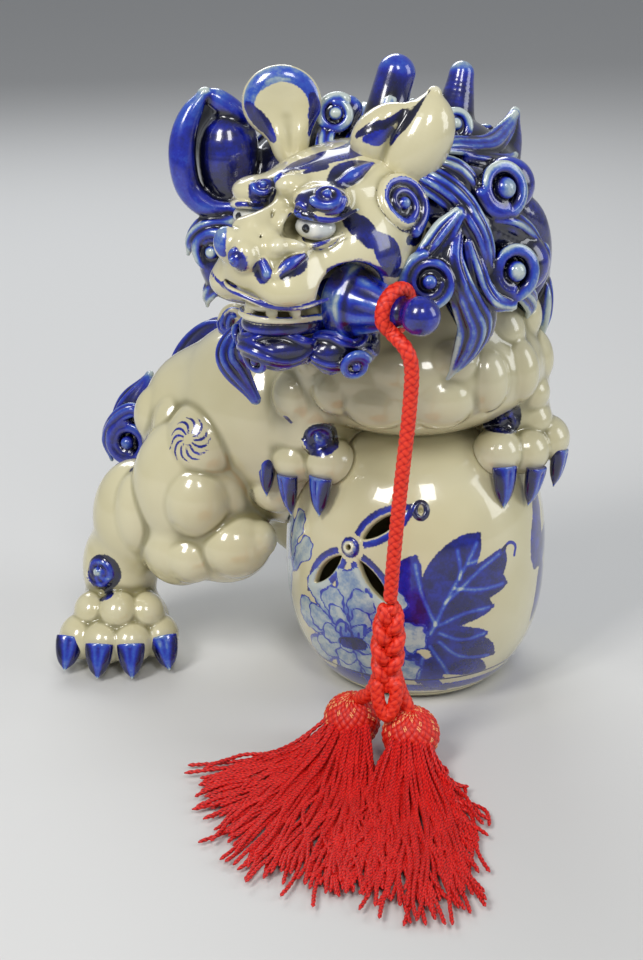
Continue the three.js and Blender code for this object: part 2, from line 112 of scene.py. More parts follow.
# ---- materials ----
class Nodes:
    """A material's node tree, with a short way to add each kind of node that is used here."""

    def __init__(self, name):
        self.material = bpy.data.materials.new(name)
        self.material.use_nodes = True
        self.tree = self.material.node_tree
        self.shader = self.tree.nodes["Principled BSDF"]

    def put(self, socket, value):
        if isinstance(value, bpy.types.NodeSocket):
            self.tree.links.new(value, socket)
        elif value is not None:
            socket.default_value = value

    def attribute(self, name):
        node = self.tree.nodes.new("ShaderNodeAttribute")
        node.attribute_name = name
        return node.outputs["Fac"]

    def place(self):
        return self.tree.nodes.new("ShaderNodeTexCoord").outputs["Object"]

    def noise(self, size, detail=2.0, roughness=0.5):
        """Noise whose blots are about size mm across."""
        node = self.tree.nodes.new("ShaderNodeTexNoise")
        self.put(node.inputs["Vector"], self.place())
        node.inputs["Scale"].default_value = 1000.0 / size
        node.inputs["Detail"].default_value = detail
        node.inputs["Roughness"].default_value = roughness
        return node.outputs["Fac"]

    def math(self, kind, a, b=None, clamp=False):
        node = self.tree.nodes.new("ShaderNodeMath")
        node.operation = kind
        node.use_clamp = clamp
        self.put(node.inputs[0], a)
        self.put(node.inputs[1], b)
        return node.outputs[0]

    def scaled(self, value, factor, offset=0.0):
        return self.math("ADD", self.math("MULTIPLY", value, factor), offset)

    def step(self, value, start, end):
        """0 before start and 1 after end, with a smooth change between them."""
        node = self.tree.nodes.new("ShaderNodeMapRange")
        node.interpolation_type = "SMOOTHSTEP"
        self.put(node.inputs["Value"], value)
        node.inputs["From Min"].default_value = start
        node.inputs["From Max"].default_value = end
        return node.outputs[0]

    def mix(self, share, a, b):
        node = self.tree.nodes.new("ShaderNodeMix")
        node.data_type = "RGBA"
        self.put(node.inputs["Factor"], share)
        self.put(node.inputs[6], a)
        self.put(node.inputs[7], b)
        return node.outputs[2]

    def ramp(self, value, stops):
        node = self.tree.nodes.new("ShaderNodeValToRGB")
        elements = node.color_ramp.elements
        while len(elements) < len(stops):
            elements.new(0.5)
        for element, (at, colour) in zip(elements, stops):
            element.position = at
            element.color = (*colour, 1)
        self.put(node.inputs["Fac"], value)
        return node.outputs["Color"]

    def bump(self, height, distance, strength=1.0):
        node = self.tree.nodes.new("ShaderNodeBump")
        node.inputs["Strength"].default_value = strength
        node.inputs["Distance"].default_value = distance * MM
        self.put(node.inputs["Height"], height)
        self.put(self.shader.inputs["Normal"], node.outputs["Normal"])


COBALT = [  # from a thin wash to pooled colour
    (0.0, (0.47, 0.54, 0.52)),
    (0.17, (0.19, 0.29, 0.44)),
    (0.34, (0.026, 0.085, 0.47)),
    (0.54, (0.006, 0.017, 0.36)),
    (0.75, (0.003, 0.005, 0.11)),
    (1.0, (0.001, 0.0015, 0.014)),
]


def glaze_material():
    """Ivory porcelain with cobalt under a clear glaze. wash is the distance to the nearest brushed
    patch and line to the nearest fine stroke, negative inside; tone is how thick the colour lies;
    relief is how far the surface stands proud of its surroundings."""
    n = Nodes("cobalt_and_ivory_glaze")
    wash, line, tone, relief = (n.attribute(a) for a in ("wash", "line", "tone", "relief"))
    grain = n.noise(0.9, 3.0, 0.6)
    cloud = n.noise(6.0, 3.0, 0.6)
    broad = n.noise(26.0, 2.0)
    ragged = n.math("ADD", wash, n.scaled(grain, 1.1, -0.55))
    in_wash = n.step(ragged, 0.25, -0.25)
    in_line = n.step(n.math("ADD", line, n.scaled(grain, 0.4, -0.2)), 0.16, -0.16)
    # painted highlight and shade in the cobalt: paler where the surface stands proud, darker in
    # hollows
    depth = n.math("ADD", tone, n.scaled(relief, -0.8))
    depth = n.math("ADD", depth, n.scaled(cloud, 0.62, -0.31))
    depth = n.math("ADD", depth, n.scaled(grain, 0.24, -0.12))
    blue = n.ramp(n.math("ADD", depth, 0.0, clamp=True), COBALT)
    ivory = n.mix(n.step(broad, 0.3, 0.7), (0.60, 0.55, 0.335, 1), (0.655, 0.61, 0.40, 1))
    # painted shade: ivory darkened in hollows and creases, where shade falls
    painted_crease_shade = n.step(relief, 0.02, -0.42)
    ivory = n.mix(painted_crease_shade, ivory, (0.27, 0.245, 0.12, 1))
    # painted highlight: ivory lightened on raised parts
    proud = n.step(relief, 0.3, 0.9)
    ivory = n.mix(proud, ivory, (0.74, 0.71, 0.54, 1))
    colour = n.mix(in_wash, ivory, blue)
    ink = n.ramp(n.math("ADD", n.scaled(cloud, 0.4, 0.12), n.scaled(tone, 0.65)), COBALT)
    colour = n.mix(in_line, colour, ink)
    n.put(n.shader.inputs["Base Color"], colour)
    n.put(n.shader.inputs["Roughness"], n.scaled(cloud, 0.12, 0.16))
    n.shader.inputs["Coat Weight"].default_value = 1.0
    n.shader.inputs["Coat Roughness"].default_value = 0.03
    n.shader.inputs["IOR"].default_value = 1.5
    n.bump(n.noise(4.5, 2.0), 0.25, 0.3)
    return n.material


def silk_material(name, colours, thread, sheen):
    """Dyed rayon: colour varies from thread to thread, with painted shade in the hollows between
    threads and painted highlights on the raised ones.
    """
    n = Nodes(name)
    relief = n.attribute("relief")
    gold_thread_glint = n.attribute("gold_thread_glint")
    fine = n.noise(thread, 2.0, 0.65)
    cloud = n.noise(5.0, 2.0)
    dark, middle, bright = colours
    # painted shade and highlight: threads lighter where they stand out, darker in the hollows
    # between them
    shade = n.math("ADD", n.scaled(relief, 1.15, -0.12), n.scaled(fine, 0.4, -0.2))
    shade = n.math("ADD", shade, n.scaled(cloud, 0.3, -0.15), clamp=True)
    colour = n.ramp(shade, [(0.0, dark), (0.5, middle), (1.0, bright)])
    # gilt thread painted as bright glints, partly thread colour and partly painted highlight
    colour = n.mix(n.step(gold_thread_glint, 0.45, 0.6), colour, (0.85, 0.42, 0.16, 1))
    n.put(n.shader.inputs["Base Color"], colour)
    n.put(n.shader.inputs["Roughness"], n.scaled(fine, 0.25, 0.36))
    n.shader.inputs["Sheen Weight"].default_value = sheen
    n.shader.inputs["Sheen Roughness"].default_value = 0.4
    n.shader.inputs["Sheen Tint"].default_value = (1, 0.35, 0.25, 1)
    n.bump(fine, 0.08, 0.5)
    return n.material


def eye_material():
    """White glaze with a painted pupil: iris is the distance from the pupil's centre."""
    n = Nodes("eye_glaze")
    iris = n.attribute("iris")
    lid = n.attribute("lid")
    grain = n.noise(0.8, 2.0)
    wobble = n.math("ADD", iris, n.scaled(grain, 0.5, -0.25))
    colour = n.ramp(
        n.scaled(wobble, 0.2),
        [
            (0.0, (0.10, 0.12, 0.14)),
            (0.10, (0.003, 0.004, 0.01)),
            (0.25, (0.004, 0.005, 0.012)),
            (0.31, (0.62, 0.63, 0.60)),
            (0.62, (0.78, 0.78, 0.72)),
            (1.0, (0.55, 0.58, 0.58)),
        ],
    )
    edge = n.step(n.math("ADD", lid, n.scaled(grain, 0.7, -0.35)), 0.2, -0.3)
    colour = n.mix(edge, colour, (0.01, 0.014, 0.06, 1))
    n.put(n.shader.inputs["Base Color"], colour)
    n.shader.inputs["Roughness"].default_value = 0.1
    n.shader.inputs["Coat Weight"].default_value = 1.0
    n.shader.inputs["Coat Roughness"].default_value = 0.03
    return n.material


GLAZE = glaze_material()
EYE = eye_material()
CORD_RED = silk_material(
    "braided_red_rayon", ((0.09, 0.0, 0.0), (0.56, 0.003, 0.001), (0.86, 0.042, 0.012)), 0.3, 0.05
)
SKIRT_RED = silk_material(
    "twisted_red_rayon", ((0.16, 0.0, 0.001), (0.66, 0.003, 0.003), (0.93, 0.03, 0.014)), 0.25, 0.1
)


# ---- paths and meshes ----
def unit(v):
    v = np.asarray(v, float)
    return v / np.maximum(np.linalg.norm(v, axis=-1, keepdims=True), 1e-9)


def smooth_path(points, values=None, spacing=1.0):
    """Points about spacing apart along a Catmull-Rom curve, with values carried along it."""
    points = np.asarray(points, float)
    values = np.ones(len(points)) if values is None else np.asarray(values, float)
    rows = np.column_stack([points, values])
    rows = np.vstack([2 * rows[0] - rows[1], rows, 2 * rows[-1] - rows[-2]])
    rows[0, 3], rows[-1, 3] = rows[1, 3], rows[-2, 3]
    out = []
    for i in range(1, len(rows) - 2):
        a, b, c, d = rows[i - 1 : i + 3]
        count = max(2, int(math.ceil(np.linalg.norm(c[:3] - b[:3]) / spacing)))
        for t in np.arange(count) / count:
            out.append(
                0.5 * (
                    2 * b + (c - a) * t + (
                        2 * a - 5 * b + 4 * c - d
                    ) * t**2 + (3 * b - a - 3 * c + d) * t**3
                )
            )
    out.append(rows[-2])
    out = np.array(out)
    return out[:, :3], np.maximum(out[:, 3], 0.05)


def distance_along(path):
    return np.concatenate([[0], np.cumsum(np.linalg.norm(np.diff(path, axis=0), axis=1))])


def turning_frames(path):
    """Directions across a curve that turn with it as little as they can."""
    ahead = unit(np.gradient(path, axis=0))
    side = np.cross(ahead[0], [0.3, 0.2, 1.0])
    sides = []
    for direction in ahead:
        side = unit(side - (side @ direction) * direction)
        sides.append(side)
    return np.array(sides), np.cross(ahead, sides)


def frames_along(path, centre):
    """At each point of a curve: the outward direction from centre, and sideways."""
    ahead = unit(np.gradient(path, axis=0))
    out = path - np.asarray(centre, float)
    out = unit(out - (out * ahead).sum(1)[:, None] * ahead)
    return out, np.cross(ahead, out)


def ring_angles(around):
    return np.arange(around) / around * 2 * math.pi


def tube_faces(rings, around):
    """The quads of a tube, without its ends."""
    i = np.arange(rings - 1)[:, None] * around
    j = np.arange(around)[None]
    k = (j + 1) % around
    return np.stack([i + j, i + k, i + around + k, i + around + j], -1).reshape(-1, 4)


def capped_tube_faces(rings, around):
    faces = [tuple(map(int, f)) for f in tube_faces(rings, around)]
    faces.append(tuple(range(around - 1, -1, -1)))
    faces.append(tuple(range((rings - 1) * around, rings * around)))
    return faces


def tube_points(path, r, turn, side, up):
    """Rings round a path: r is each point's radius, turn the angles round a ring."""
    across = (r * np.cos(turn)[None])[..., None] * side[:, None]
    return (
        path[:, None] + across + (r * np.sin(turn)[None])[..., None] * up[:, None]
    ).reshape(-1, 3)


def joined(parts):
    """Several (points, faces, values) as one."""
    points, faces, values, first = [], [], [], 0
    for p, f, v in parts:
        points.append(p)
        values.append(v)
        faces += [tuple(int(k) + first for k in face) for face in f]
        first += len(p)
    return np.vstack(points), faces, np.concatenate(values)


def new_piece(name, points, faces, material, replaces, normals=None, attributes=None):
    """A mesh from points in mm, which rides on the body and stands for its CAD nodes."""
    mesh = bpy.data.meshes.new(name)
    mesh.from_pydata(np.asarray(points, float) * MM, [], faces)
    for key, values in (attributes or {}).items():
        layer = mesh.attributes.new(key, "FLOAT", "POINT")
        layer.data.foreach_set("value", np.asarray(values, np.float32))
    mesh.polygons.foreach_set("use_smooth", np.ones(len(mesh.polygons), bool))
    if normals is not None:
        mesh.normals_split_custom_set_from_vertices(np.asarray(normals, float))
    mesh.update()
    mesh.materials.append(material)
    piece = bpy.data.objects.new(name, mesh)
    bpy.context.scene.collection.objects.link(piece)
    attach(piece, "root")
    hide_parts(*replaces)
    return piece


def boundary_loops(edges):
    """Closed chains of the edges that only one face uses, longest first."""
    links = {}
    for a, b in edges:
        links.setdefault(int(a), []).append(int(b))
        links.setdefault(int(b), []).append(int(a))
    loops, left = [], set(links)
    while left:
        first = left.pop()
        loop, here = [first], first
        while True:
            ahead = [k for k in links[here] if k in left]
            if not ahead:
                break
            here = ahead[0]
            left.discard(here)
            loop.append(here)
        if len(loop) > 2:
            loops.append(np.array(loop))
    return sorted(loops, key=len, reverse=True)


def bridged(points, loops):
    """Triangles between two loops round the same axis."""
    rings = []
    for loop in loops:
        angle = np.arctan2(points[loop, 1], points[loop, 0])
        order = np.argsort(angle)
        rings.append((loop[order], angle[order]))
    (a, at_a), (b, at_b) = rings
    faces, i, j = [], 0, 0
    while i < len(a) or j < len(b):
        step_a = i < len(a) and (j >= len(b) or at_a[i] <= at_b[j])
        if step_a:
            faces.append((a[i % len(a)], a[(i + 1) % len(a)], b[j % len(b)]))
            i += 1
        else:
            faces.append((b[(j + 1) % len(b)], b[j % len(b)], a[i % len(a)]))
            j += 1
    return faces


def split_piece(
    name, points, quads, normals, attributes, node, bridge=False, hub=None
):
    """One piece of a mesh that is shared out by its faces. Open edges are closed inside, towards
    hub where it is given."""
    used, inverse = np.unique(quads.reshape(-1), return_inverse=True)
    faces = inverse.reshape(-1, 4)
    part = {key: values[used] for key, values in attributes.items()}
    points, normals = points[used], normals[used]
    edges = np.sort(np.concatenate([faces[:, [i, (i + 1) % 4]] for i in range(4)]), axis=1)
    unique, counts = np.unique(edges, axis=0, return_counts=True)
    open_edges = unique[counts == 1]
    loops = boundary_loops(open_edges)
    closing, extra = [], []
    if hub is not None:
        extra = [hub]
        closing = [(int(a), int(b), len(points)) for a, b in open_edges]
    elif bridge and len(loops) == 2:
        closing = bridged(points, loops)
    else:
        for loop in loops:
            middle = points[loop].mean(0) - 2.0 * unit(normals[loop].mean(0))
            extra.append(middle)
            middle = len(points) + len(extra) - 1
            closing += [(a, b, middle) for a, b in zip(loop, np.roll(loop, -1))]
    if extra:
        points = np.vstack([points, extra])
        normals = np.vstack([normals, np.tile([0.0, 0.0, 1.0], (len(extra), 1))])
        part = {k: np.concatenate([v, np.full(len(extra), v.mean())]) for k, v in part.items()}
    directed = {(int(a), int(b)) for f in faces for a, b in zip(f, np.roll(f, -1))}
    closing = [f if (int(f[0]), int(f[1])) not in directed else f[::-1] for f in closing]
    all_faces = [tuple(map(int, f)) for f in faces] + [tuple(map(int, f)) for f in closing]
    new_piece(name, points, all_faces, GLAZE, [node], normals, part)


# ---- clay ----
def smooth_min(a, b, blend):
    if blend <= 0:
        return np.minimum(a, b)
    share = np.clip(0.5 + 0.5 * (b - a) / blend, 0, 1)
    return b + (a - b) * share - blend * share * (1 - share)


class Clay:
    """A block of clay: the signed distance to its surface at every point of a grid."""

    def __init__(self, low, high, step):
        self.step = step * 1.0
        self.low = np.array(low, float) - 3 * self.step
        self.size = np.ceil((np.array(high, float) - self.low) / self.step).astype(int) + 4
        self.field = np.full(self.size, FAR, np.float32)

    def window(self, low, high):
        first = np.floor((np.asarray(low) - self.low) / self.step).astype(int)
        last = np.ceil((np.asarray(high) - self.low) / self.step).astype(int) + 1
        first = np.clip(first, 0, self.size)
        last = np.clip(last, first, self.size)
        return tuple(slice(a, b) for a, b in zip(first, last))

    def axes(self, window):
        lines = [
            (self.low[i] + self.step * np.arange(w.start, w.stop)).astype(np.float32)
            for i, w in enumerate(window)
        ]
        return np.meshgrid(*lines, indexing="ij", sparse=True)

    def add(self, shape, blend=0.0):
        window, distance = shape(self)
        self.field[window] = smooth_min(self.field[window], distance, blend)
        return self

    def cut(self, shape, blend=0.0):
        window, distance = shape(self)
        self.field[window] = -smooth_min(-self.field[window], distance, blend)
        return self

    def at(self, points, field=None):
        field = self.field if field is None else field
        q = (np.asarray(points) - self.low) / self.step
        q = np.clip(q, 0, np.array(field.shape) - 1.001)
        i = q.astype(int)
        f = q - i
        x, y, z = i.T
        total = 0
        for dx in (0, 1):
            for dy in (0, 1):
                for dz in (0, 1):
                    share = (
                        (f[:, 0] if dx else 1 - f[:, 0])
                        * (f[:, 1] if dy else 1 - f[:, 1])
                        * (f[:, 2] if dz else 1 - f[:, 2])
                    )
                    total = total + share * field[x + dx, y + dy, z + dz]
        return total

    def normals(self, points):
        points = np.asarray(points, float)
        slope = [
            self.at(points + offset) - self.at(points - offset)
            for offset in np.eye(3) * self.step
        ]
        return unit(np.stack(slope, -1))

    def snap(self, points):
        """The nearest points on the surface."""
        points = np.atleast_2d(np.asarray(points, float)).copy()
        for _ in range(6):
            points -= 0.8 * self.at(points)[:, None] * self.normals(points)
        return points

    def frame(self, at):
        """The nearest point on the surface, and the outward, sideways and upward ways there."""
        spot = self.snap(at)[0]
        out = self.normals([spot])[0]
        side = unit(np.cross([0, 0, 1.0], out))
        return spot, out, side, np.cross(out, side)

    def whole(self):
        return tuple(slice(0, int(n)) for n in self.size)

    def relief(self, points, reach):
        """How far each point on the surface stands proud of its surroundings."""
        blurred = np.clip(self.field, -REACH, REACH)
        count = max(1, int(round(reach / self.step)))
        for axis in range(3):
            for _ in range(2):
                total = np.cumsum(blurred, axis=axis, dtype=np.float64)
                length = blurred.shape[axis]
                high = np.minimum(np.arange(length) + count, length - 1)
                low = np.arange(length) - count - 1
                part = np.take(total, high, axis=axis)
                part -= np.take(total, np.maximum(low, 0), axis=axis) * np.where(
                    low >= 0, 1, 0
                ).reshape([-1 if k == axis else 1 for k in range(3)])
                width = high - np.maximum(low, -1)
                blurred = (
                    part / width.reshape([-1 if k == axis else 1 for k in range(3)])
                ).astype(np.float32)
        return self.at(points, blurred)

    def mesh(self):
        limit = 3 * self.step
        grid = openvdb.FloatGrid(limit)
        grid.copyFromArray(np.clip(self.field, -limit, limit).astype(np.float32))
        points, quads = grid.convertToQuads(isovalue=0.0)
        return self.low + np.asarray(points, float) * self.step, np.asarray(quads)


def lump(at, half, turn=0.0, axes=None):
    """An ellipsoid. axes are its own three directions, or it is turned about Z by turn degrees."""
    at, half = np.array(at, float), np.array(half, float)
    c, s = math.cos(math.radians(turn)), math.sin(math.radians(turn))
    axes = np.array([[c, s, 0], [-s, c, 0], [0, 0, 1]]) if axes is None else np.array(axes)

    def shape(clay):
        grow = np.sqrt((axes**2).T @ half**2) + REACH
        window = clay.window(at - grow, at + grow)
        x, y, z = clay.axes(window)
        k0 = k1 = 0
        for axis, h in zip(axes, half):
            along = ((x - at[0]) * axis[0] + (y - at[1]) * axis[1] + (z - at[2]) * axis[2]) / h
            k0 = k0 + along**2
            k1 = k1 + (along / h) ** 2
        k0, k1 = np.sqrt(k0), np.sqrt(k1)
        return window, (k0 * (k0 - 1) / np.maximum(k1, 1e-6)).astype(np.float32)

    return shape


def rope(points, radii, spacing=1.0, flat=None, reach=REACH):
    """A tapered roll along a curve. flat is (direction, factor), to press it thinner that way."""
    path, widths = smooth_path(points, radii, spacing)

    def shape(clay):
        grow = widths.max() + reach
        window = clay.window(path.min(0) - grow, path.max(0) + grow)
        result = np.full([w.stop - w.start for w in window], FAR, np.float32)
        for a, b, ra, rb in zip(path[:-1], path[1:], widths[:-1], widths[1:]):
            near = max(ra, rb) + reach
            part = clay.window(np.minimum(a, b) - near, np.maximum(a, b) + near)
            inner = tuple(
                slice(p.start - w.start, p.stop - w.start) for p, w in zip(part, window)
            )
            x, y, z = clay.axes(part)
            x, y, z = x - a[0], y - a[1], z - a[2]
            d = b - a
            t = np.clip((x * d[0] + y * d[1] + z * d[2]) / (d @ d), 0, 1)
            x, y, z = x - t * d[0], y - t * d[1], z - t * d[2]
            square = x * x + y * y + z * z
            if flat is not None:
                direction, factor = flat
                square = square + (factor**2 - 1) * (
                    x * direction[0] + y * direction[1] + z * direction[2]
                ) ** 2
            distance = np.sqrt(square) - (ra + t * (rb - ra))
            np.minimum(result[inner], distance, out=result[inner])
        return window, result

    return shape


def lump_distance(points, at, half, turn=0.0):
    half = np.array(half, float)
    c, s = math.cos(math.radians(turn)), math.sin(math.radians(turn))
    p = points - np.array(at, float)
    q = np.stack([p[:, 0] * c + p[:, 1] * s, -p[:, 0] * s + p[:, 1] * c, p[:, 2]], 1) / half
    k0 = np.linalg.norm(q, axis=1)
    return k0 * (k0 - 1) / np.maximum(np.linalg.norm(q / half, axis=1), 1e-6)


def capsule_distance(points, path, widths):
    best = np.full(len(points), 1e3)
    for a, b, ra, rb in zip(path[:-1], path[1:], widths[:-1], widths[1:]):
        d = b - a
        t = np.clip(((points - a) @ d) / max(d @ d, 1e-9), 0, 1)
        best = np.minimum(
            best, np.linalg.norm(points - a - t[:, None] * d, axis=1) - (ra + t * (rb - ra))
        )
    return best


def spiral_points(at, normal, start, radius, inner, turns, lift=0.0):
    """A spiral in the plane across normal. start is its outer end's angle from sideways to up."""
    normal = unit(normal)
    up = unit(UP - np.dot(UP, normal) * normal)
    side = np.cross(up, normal)
    t = np.linspace(0, 1, int(abs(turns) * 20) + 2)
    angle = math.radians(start) + t * turns * 2 * math.pi
    r = radius + (inner - radius) * t
    flat = r[:, None] * (np.cos(angle)[:, None] * side + np.sin(angle)[:, None] * up)
    return np.asarray(at, float) + flat + (lift * t)[:, None] * normal


def lock(clay, points, radii, centre):
    """A lock of hair: a tapered roll with four raised strands along its outer side."""
    path, widths = smooth_path(points, radii, 1.2)
    clay.add(rope(path, widths * 0.86, 1.5), 1.0)
    out, side = frames_along(path, centre)
    for angle in np.radians(np.linspace(-62, 62, 4)):
        strand = path + (widths * 0.84)[:, None] * (math.cos(angle) * out + math.sin(angle) * side)
        clay.add(rope(strand, np.maximum(widths * 0.3 * 0.75, 0.45), 1.5, reach=2.0), 0.35)


def ribbon(clay, points, widths, strands=3, centre=(-8, -4, 165), crown=0.35):
    """A broad flat lock that lies on the surface: strands side by side, narrowing to a point."""
    path, half = smooth_path(points, widths, 1.3)
    out, side = frames_along(path, centre)
    clay.add(rope(path - (0.62 * half)[:, None] * out, half * 0.8, 1.5), 0.6)
    for share in np.linspace(-1, 1, strands):
        sideways = share * half * (1 - 1 / strands)
        strand = path + sideways[:, None] * side - (crown * half * share * share)[:, None] * out
        clay.add(rope(strand, np.maximum(half / strands * 1.12, 0.4), 1.5, reach=2.5), 0.3)


def coil(clay, at, facing, radius, thick, turns, start, pearl, centre_rise=0.0, strands=1):
    """A raised spiral that faces a given way, coiled round a pearl."""
    facing = unit(facing)
    points = spiral_points(at, facing, start, radius, pearl + thick * 0.7, turns, centre_rise)
    clay.add(rope(points, np.linspace(thick, thick * 0.75, len(points)), 1.2, reach=2.5), 0.3)
    if strands > 1:
        rim = points + (0.35 * thick) * facing + 0.5 * thick * unit(points - np.asarray(at, float))
        clay.add(rope(rim, [thick * 0.4] * len(rim), 1.2, reach=2.0), 0.2)
    middle = np.asarray(at, float) + (centre_rise + 0.3 * pearl) * facing
    clay.add(lump(middle, [pearl, pearl, pearl]), 0.2)


def add_curl(clay, at, radius, thick, turns, start, pearl):
    """A raised spiral on the surface, with a pearl at its middle."""
    spot, out, _, _ = clay.frame(at)
    inner = thick * 0.6 + pearl * 0.5
    points = clay.snap(spiral_points(spot, out, start, radius, inner, turns))
    clay.add(rope(points, np.linspace(thick, thick * 0.6, len(points)), reach=2.0), 0.5)
    if pearl:
        clay.add(lump(spot + out * 0.4, [pearl, pearl, pearl]), 0.3)


# ---- painting ----
def segments_distance(points, normals, path, widths, depth):
    """The distance from each point to a stroke, measured along the surface, less its half width."""
    best = np.full(len(points), FAR)
    low, high = path.min(0) - widths.max() - 6, path.max(0) + widths.max() + 6
    near = np.where(((points > low) & (points < high)).all(1))[0]
    if not len(near):
        return best
    p, n = points[near], normals[near]
    found = np.full(len(near), FAR)
    for a, b, ra, rb in zip(path[:-1], path[1:], widths[:-1], widths[1:]):
        d = b - a
        t = np.clip(((p - a) @ d) / max(d @ d, 1e-9), 0, 1)
        w = p - a - t[:, None] * d
        off = (w * n).sum(1)
        flat = np.sqrt(np.maximum((w * w).sum(1) - off**2, 0))
        distance = np.where(np.abs(off) < depth, flat - (ra + t * (rb - ra)), FAR)
        found = np.minimum(found, distance)
    best[near] = found
    return best


class Paint:
    """The painted decoration on one block of clay: washes with their tones, fine lines, pale veins
    drawn through a wash, and petals, which hide what was painted before them."""

    def __init__(self):
        self.strokes = []

    def stroke(self, kind, path, widths, tone, depth):
        path = np.atleast_2d(np.asarray(path, float))
        widths = np.broadcast_to(np.asarray(widths, float), len(path)).copy()
        if len(path) == 1:
            path, widths = np.vstack([path, path + 0.01]), np.repeat(widths, 2)
        else:
            path, widths = smooth_path(path, widths, 1.5)
        self.strokes.append((kind, path, widths, tone, depth))

    def wash(self, path, widths, tone=0.5, depth=5.0):
        self.stroke("wash", path, widths, tone, depth)

    def line(self, path, width=0.45):
        self.stroke("line", path, width, 0, 5.0)

    def vein(self, path, width=0.2):
        self.stroke("vein", path, width, 0, 9.0)

    def petal(self, path, widths, tone):
        self.stroke("petal", path, widths, tone, 9.0)

    def on(self, points, normals, tone):
        wash = np.full(len(points), FAR)
        line = np.full(len(points), FAR)
        tones = np.full(len(points), float(tone))
        for kind, path, widths, stroke_tone, depth in self.strokes:
            distance = segments_distance(points, normals, path, widths, depth)
            if kind == "line":
                line = np.minimum(line, distance)
                continue
            if kind == "vein":
                tones = tones - 0.4 * np.exp(-((np.maximum(distance, 0) / 0.5) ** 2)) * (wash < 0)
                continue
            if kind == "petal":
                ruffle = np.sin(points @ [1.0, 0.4, 0.8]) + 0.5 * np.sin(points @ [-0.9, 0.9, 1.7])
                distance = distance + 0.5 * ruffle * (distance < 3)
                inside = distance < 0
                shade = stroke_tone + self.petal_shade(points, normals, path, inside)
                line = np.where(inside, FAR, line)
                line = np.minimum(line, np.abs(distance + 0.35) - 0.36)
                tones = np.where(inside, shade + 0.12 * np.exp(distance / 0.8), tones)
                wash = np.where(inside, np.minimum(distance - 1.3, wash), wash)
                continue
            tones = np.where(
                (distance < 0) | (distance < np.minimum(wash, 0.8)), stroke_tone, tones
            )
            wash = np.where(distance < 0, np.minimum(distance, wash), np.minimum(wash, distance))
        return {"wash": wash, "line": line, "tone": tones}

    @staticmethod
    def petal_shade(points, normals, path, inside):
        """Darker towards the petal's base, with paler ribs that fan out from it."""
        ahead = unit(path[-1] - path[0])
        out = unit(normals[inside].mean(0)) if inside.any() else UP
        rest = points - path[0] + 5 * ahead
        x, y = rest @ ahead, rest @ np.cross(out, ahead)
        r = np.hypot(x, y)
        rib = np.abs((np.arctan2(y, x) * 4) % 1 - 0.5) / 4 * r
        return 0.34 * np.exp(-np.maximum(r - 5, 0) / 4.0) - 0.12 * np.exp(-rib)


def unpainted(count, tone, wash=FAR):
    """Attributes of bare porcelain, or of cobalt all over where wash is negative."""
    return {"wash": np.full(count, wash), "line": np.full(count, FAR), "tone": tone}


def glazed(name, clay, node, paint=None, blue=False, tone=0.42, reach=1.3, toning=None):
    """Meshes a block of clay as one glazed piece. blue is cobalt all over."""
    points, quads = clay.mesh()
    normals = clay.normals(points)
    attributes = (paint or Paint()).on(points, normals, tone)
    if blue:
        attributes["wash"] = np.full(len(points), -FAR)
    if toning is not None:
        attributes = toning(points, attributes)
    # relief paints shade into hollows and highlights onto raised parts
    attributes["relief"] = clay.relief(points, reach)
    new_piece(name, points, quads, GLAZE, [node], normals, attributes)


# ---- places in the head ----
HEAD_AT = np.array([-25.0, -40.0, 168.0])
HEAD_TURN = math.radians(40)
FORWARD = np.array([-math.sin(HEAD_TURN), -math.cos(HEAD_TURN), 0])
LEFT = np.array([math.cos(HEAD_TURN), -math.sin(HEAD_TURN), 0])
UP = np.array([0.0, 0.0, 1.0])
HEAD_AXES = np.array([FORWARD, LEFT, UP])


def in_head(at):
    """A place given as forward, left and up in the head."""
    return HEAD_AT + np.asarray(at, float) @ HEAD_AXES


def head_path(points):
    return [in_head(p) for p in points]


def head_lump(at, half):
    return lump(in_head(at), half, axes=HEAD_AXES)


def head_stroke(clay, points):
    return clay.snap(head_path(points))


# ---- the cord, its knot and tassels ----
BAR_FORWARD, BAR_UP, KNOB_AT, KNOB_RADIUS = 18.0, -16.5, 42.0, 6.0
CORD_DIAMETER = 4.4
NOOSE_RADIUS = 6.9
KNOB = in_head([BAR_FORWARD, KNOB_AT, BAR_UP])
NOOSE_CENTRE = in_head([BAR_FORWARD, KNOB_AT - 8.4, BAR_UP])


def noose_point(angle, along):
    turn = math.radians(angle)
    out = NOOSE_RADIUS * math.cos(turn) * FORWARD + along * LEFT
    return NOOSE_CENTRE + out + [0, 0, NOOSE_RADIUS * math.sin(turn)]


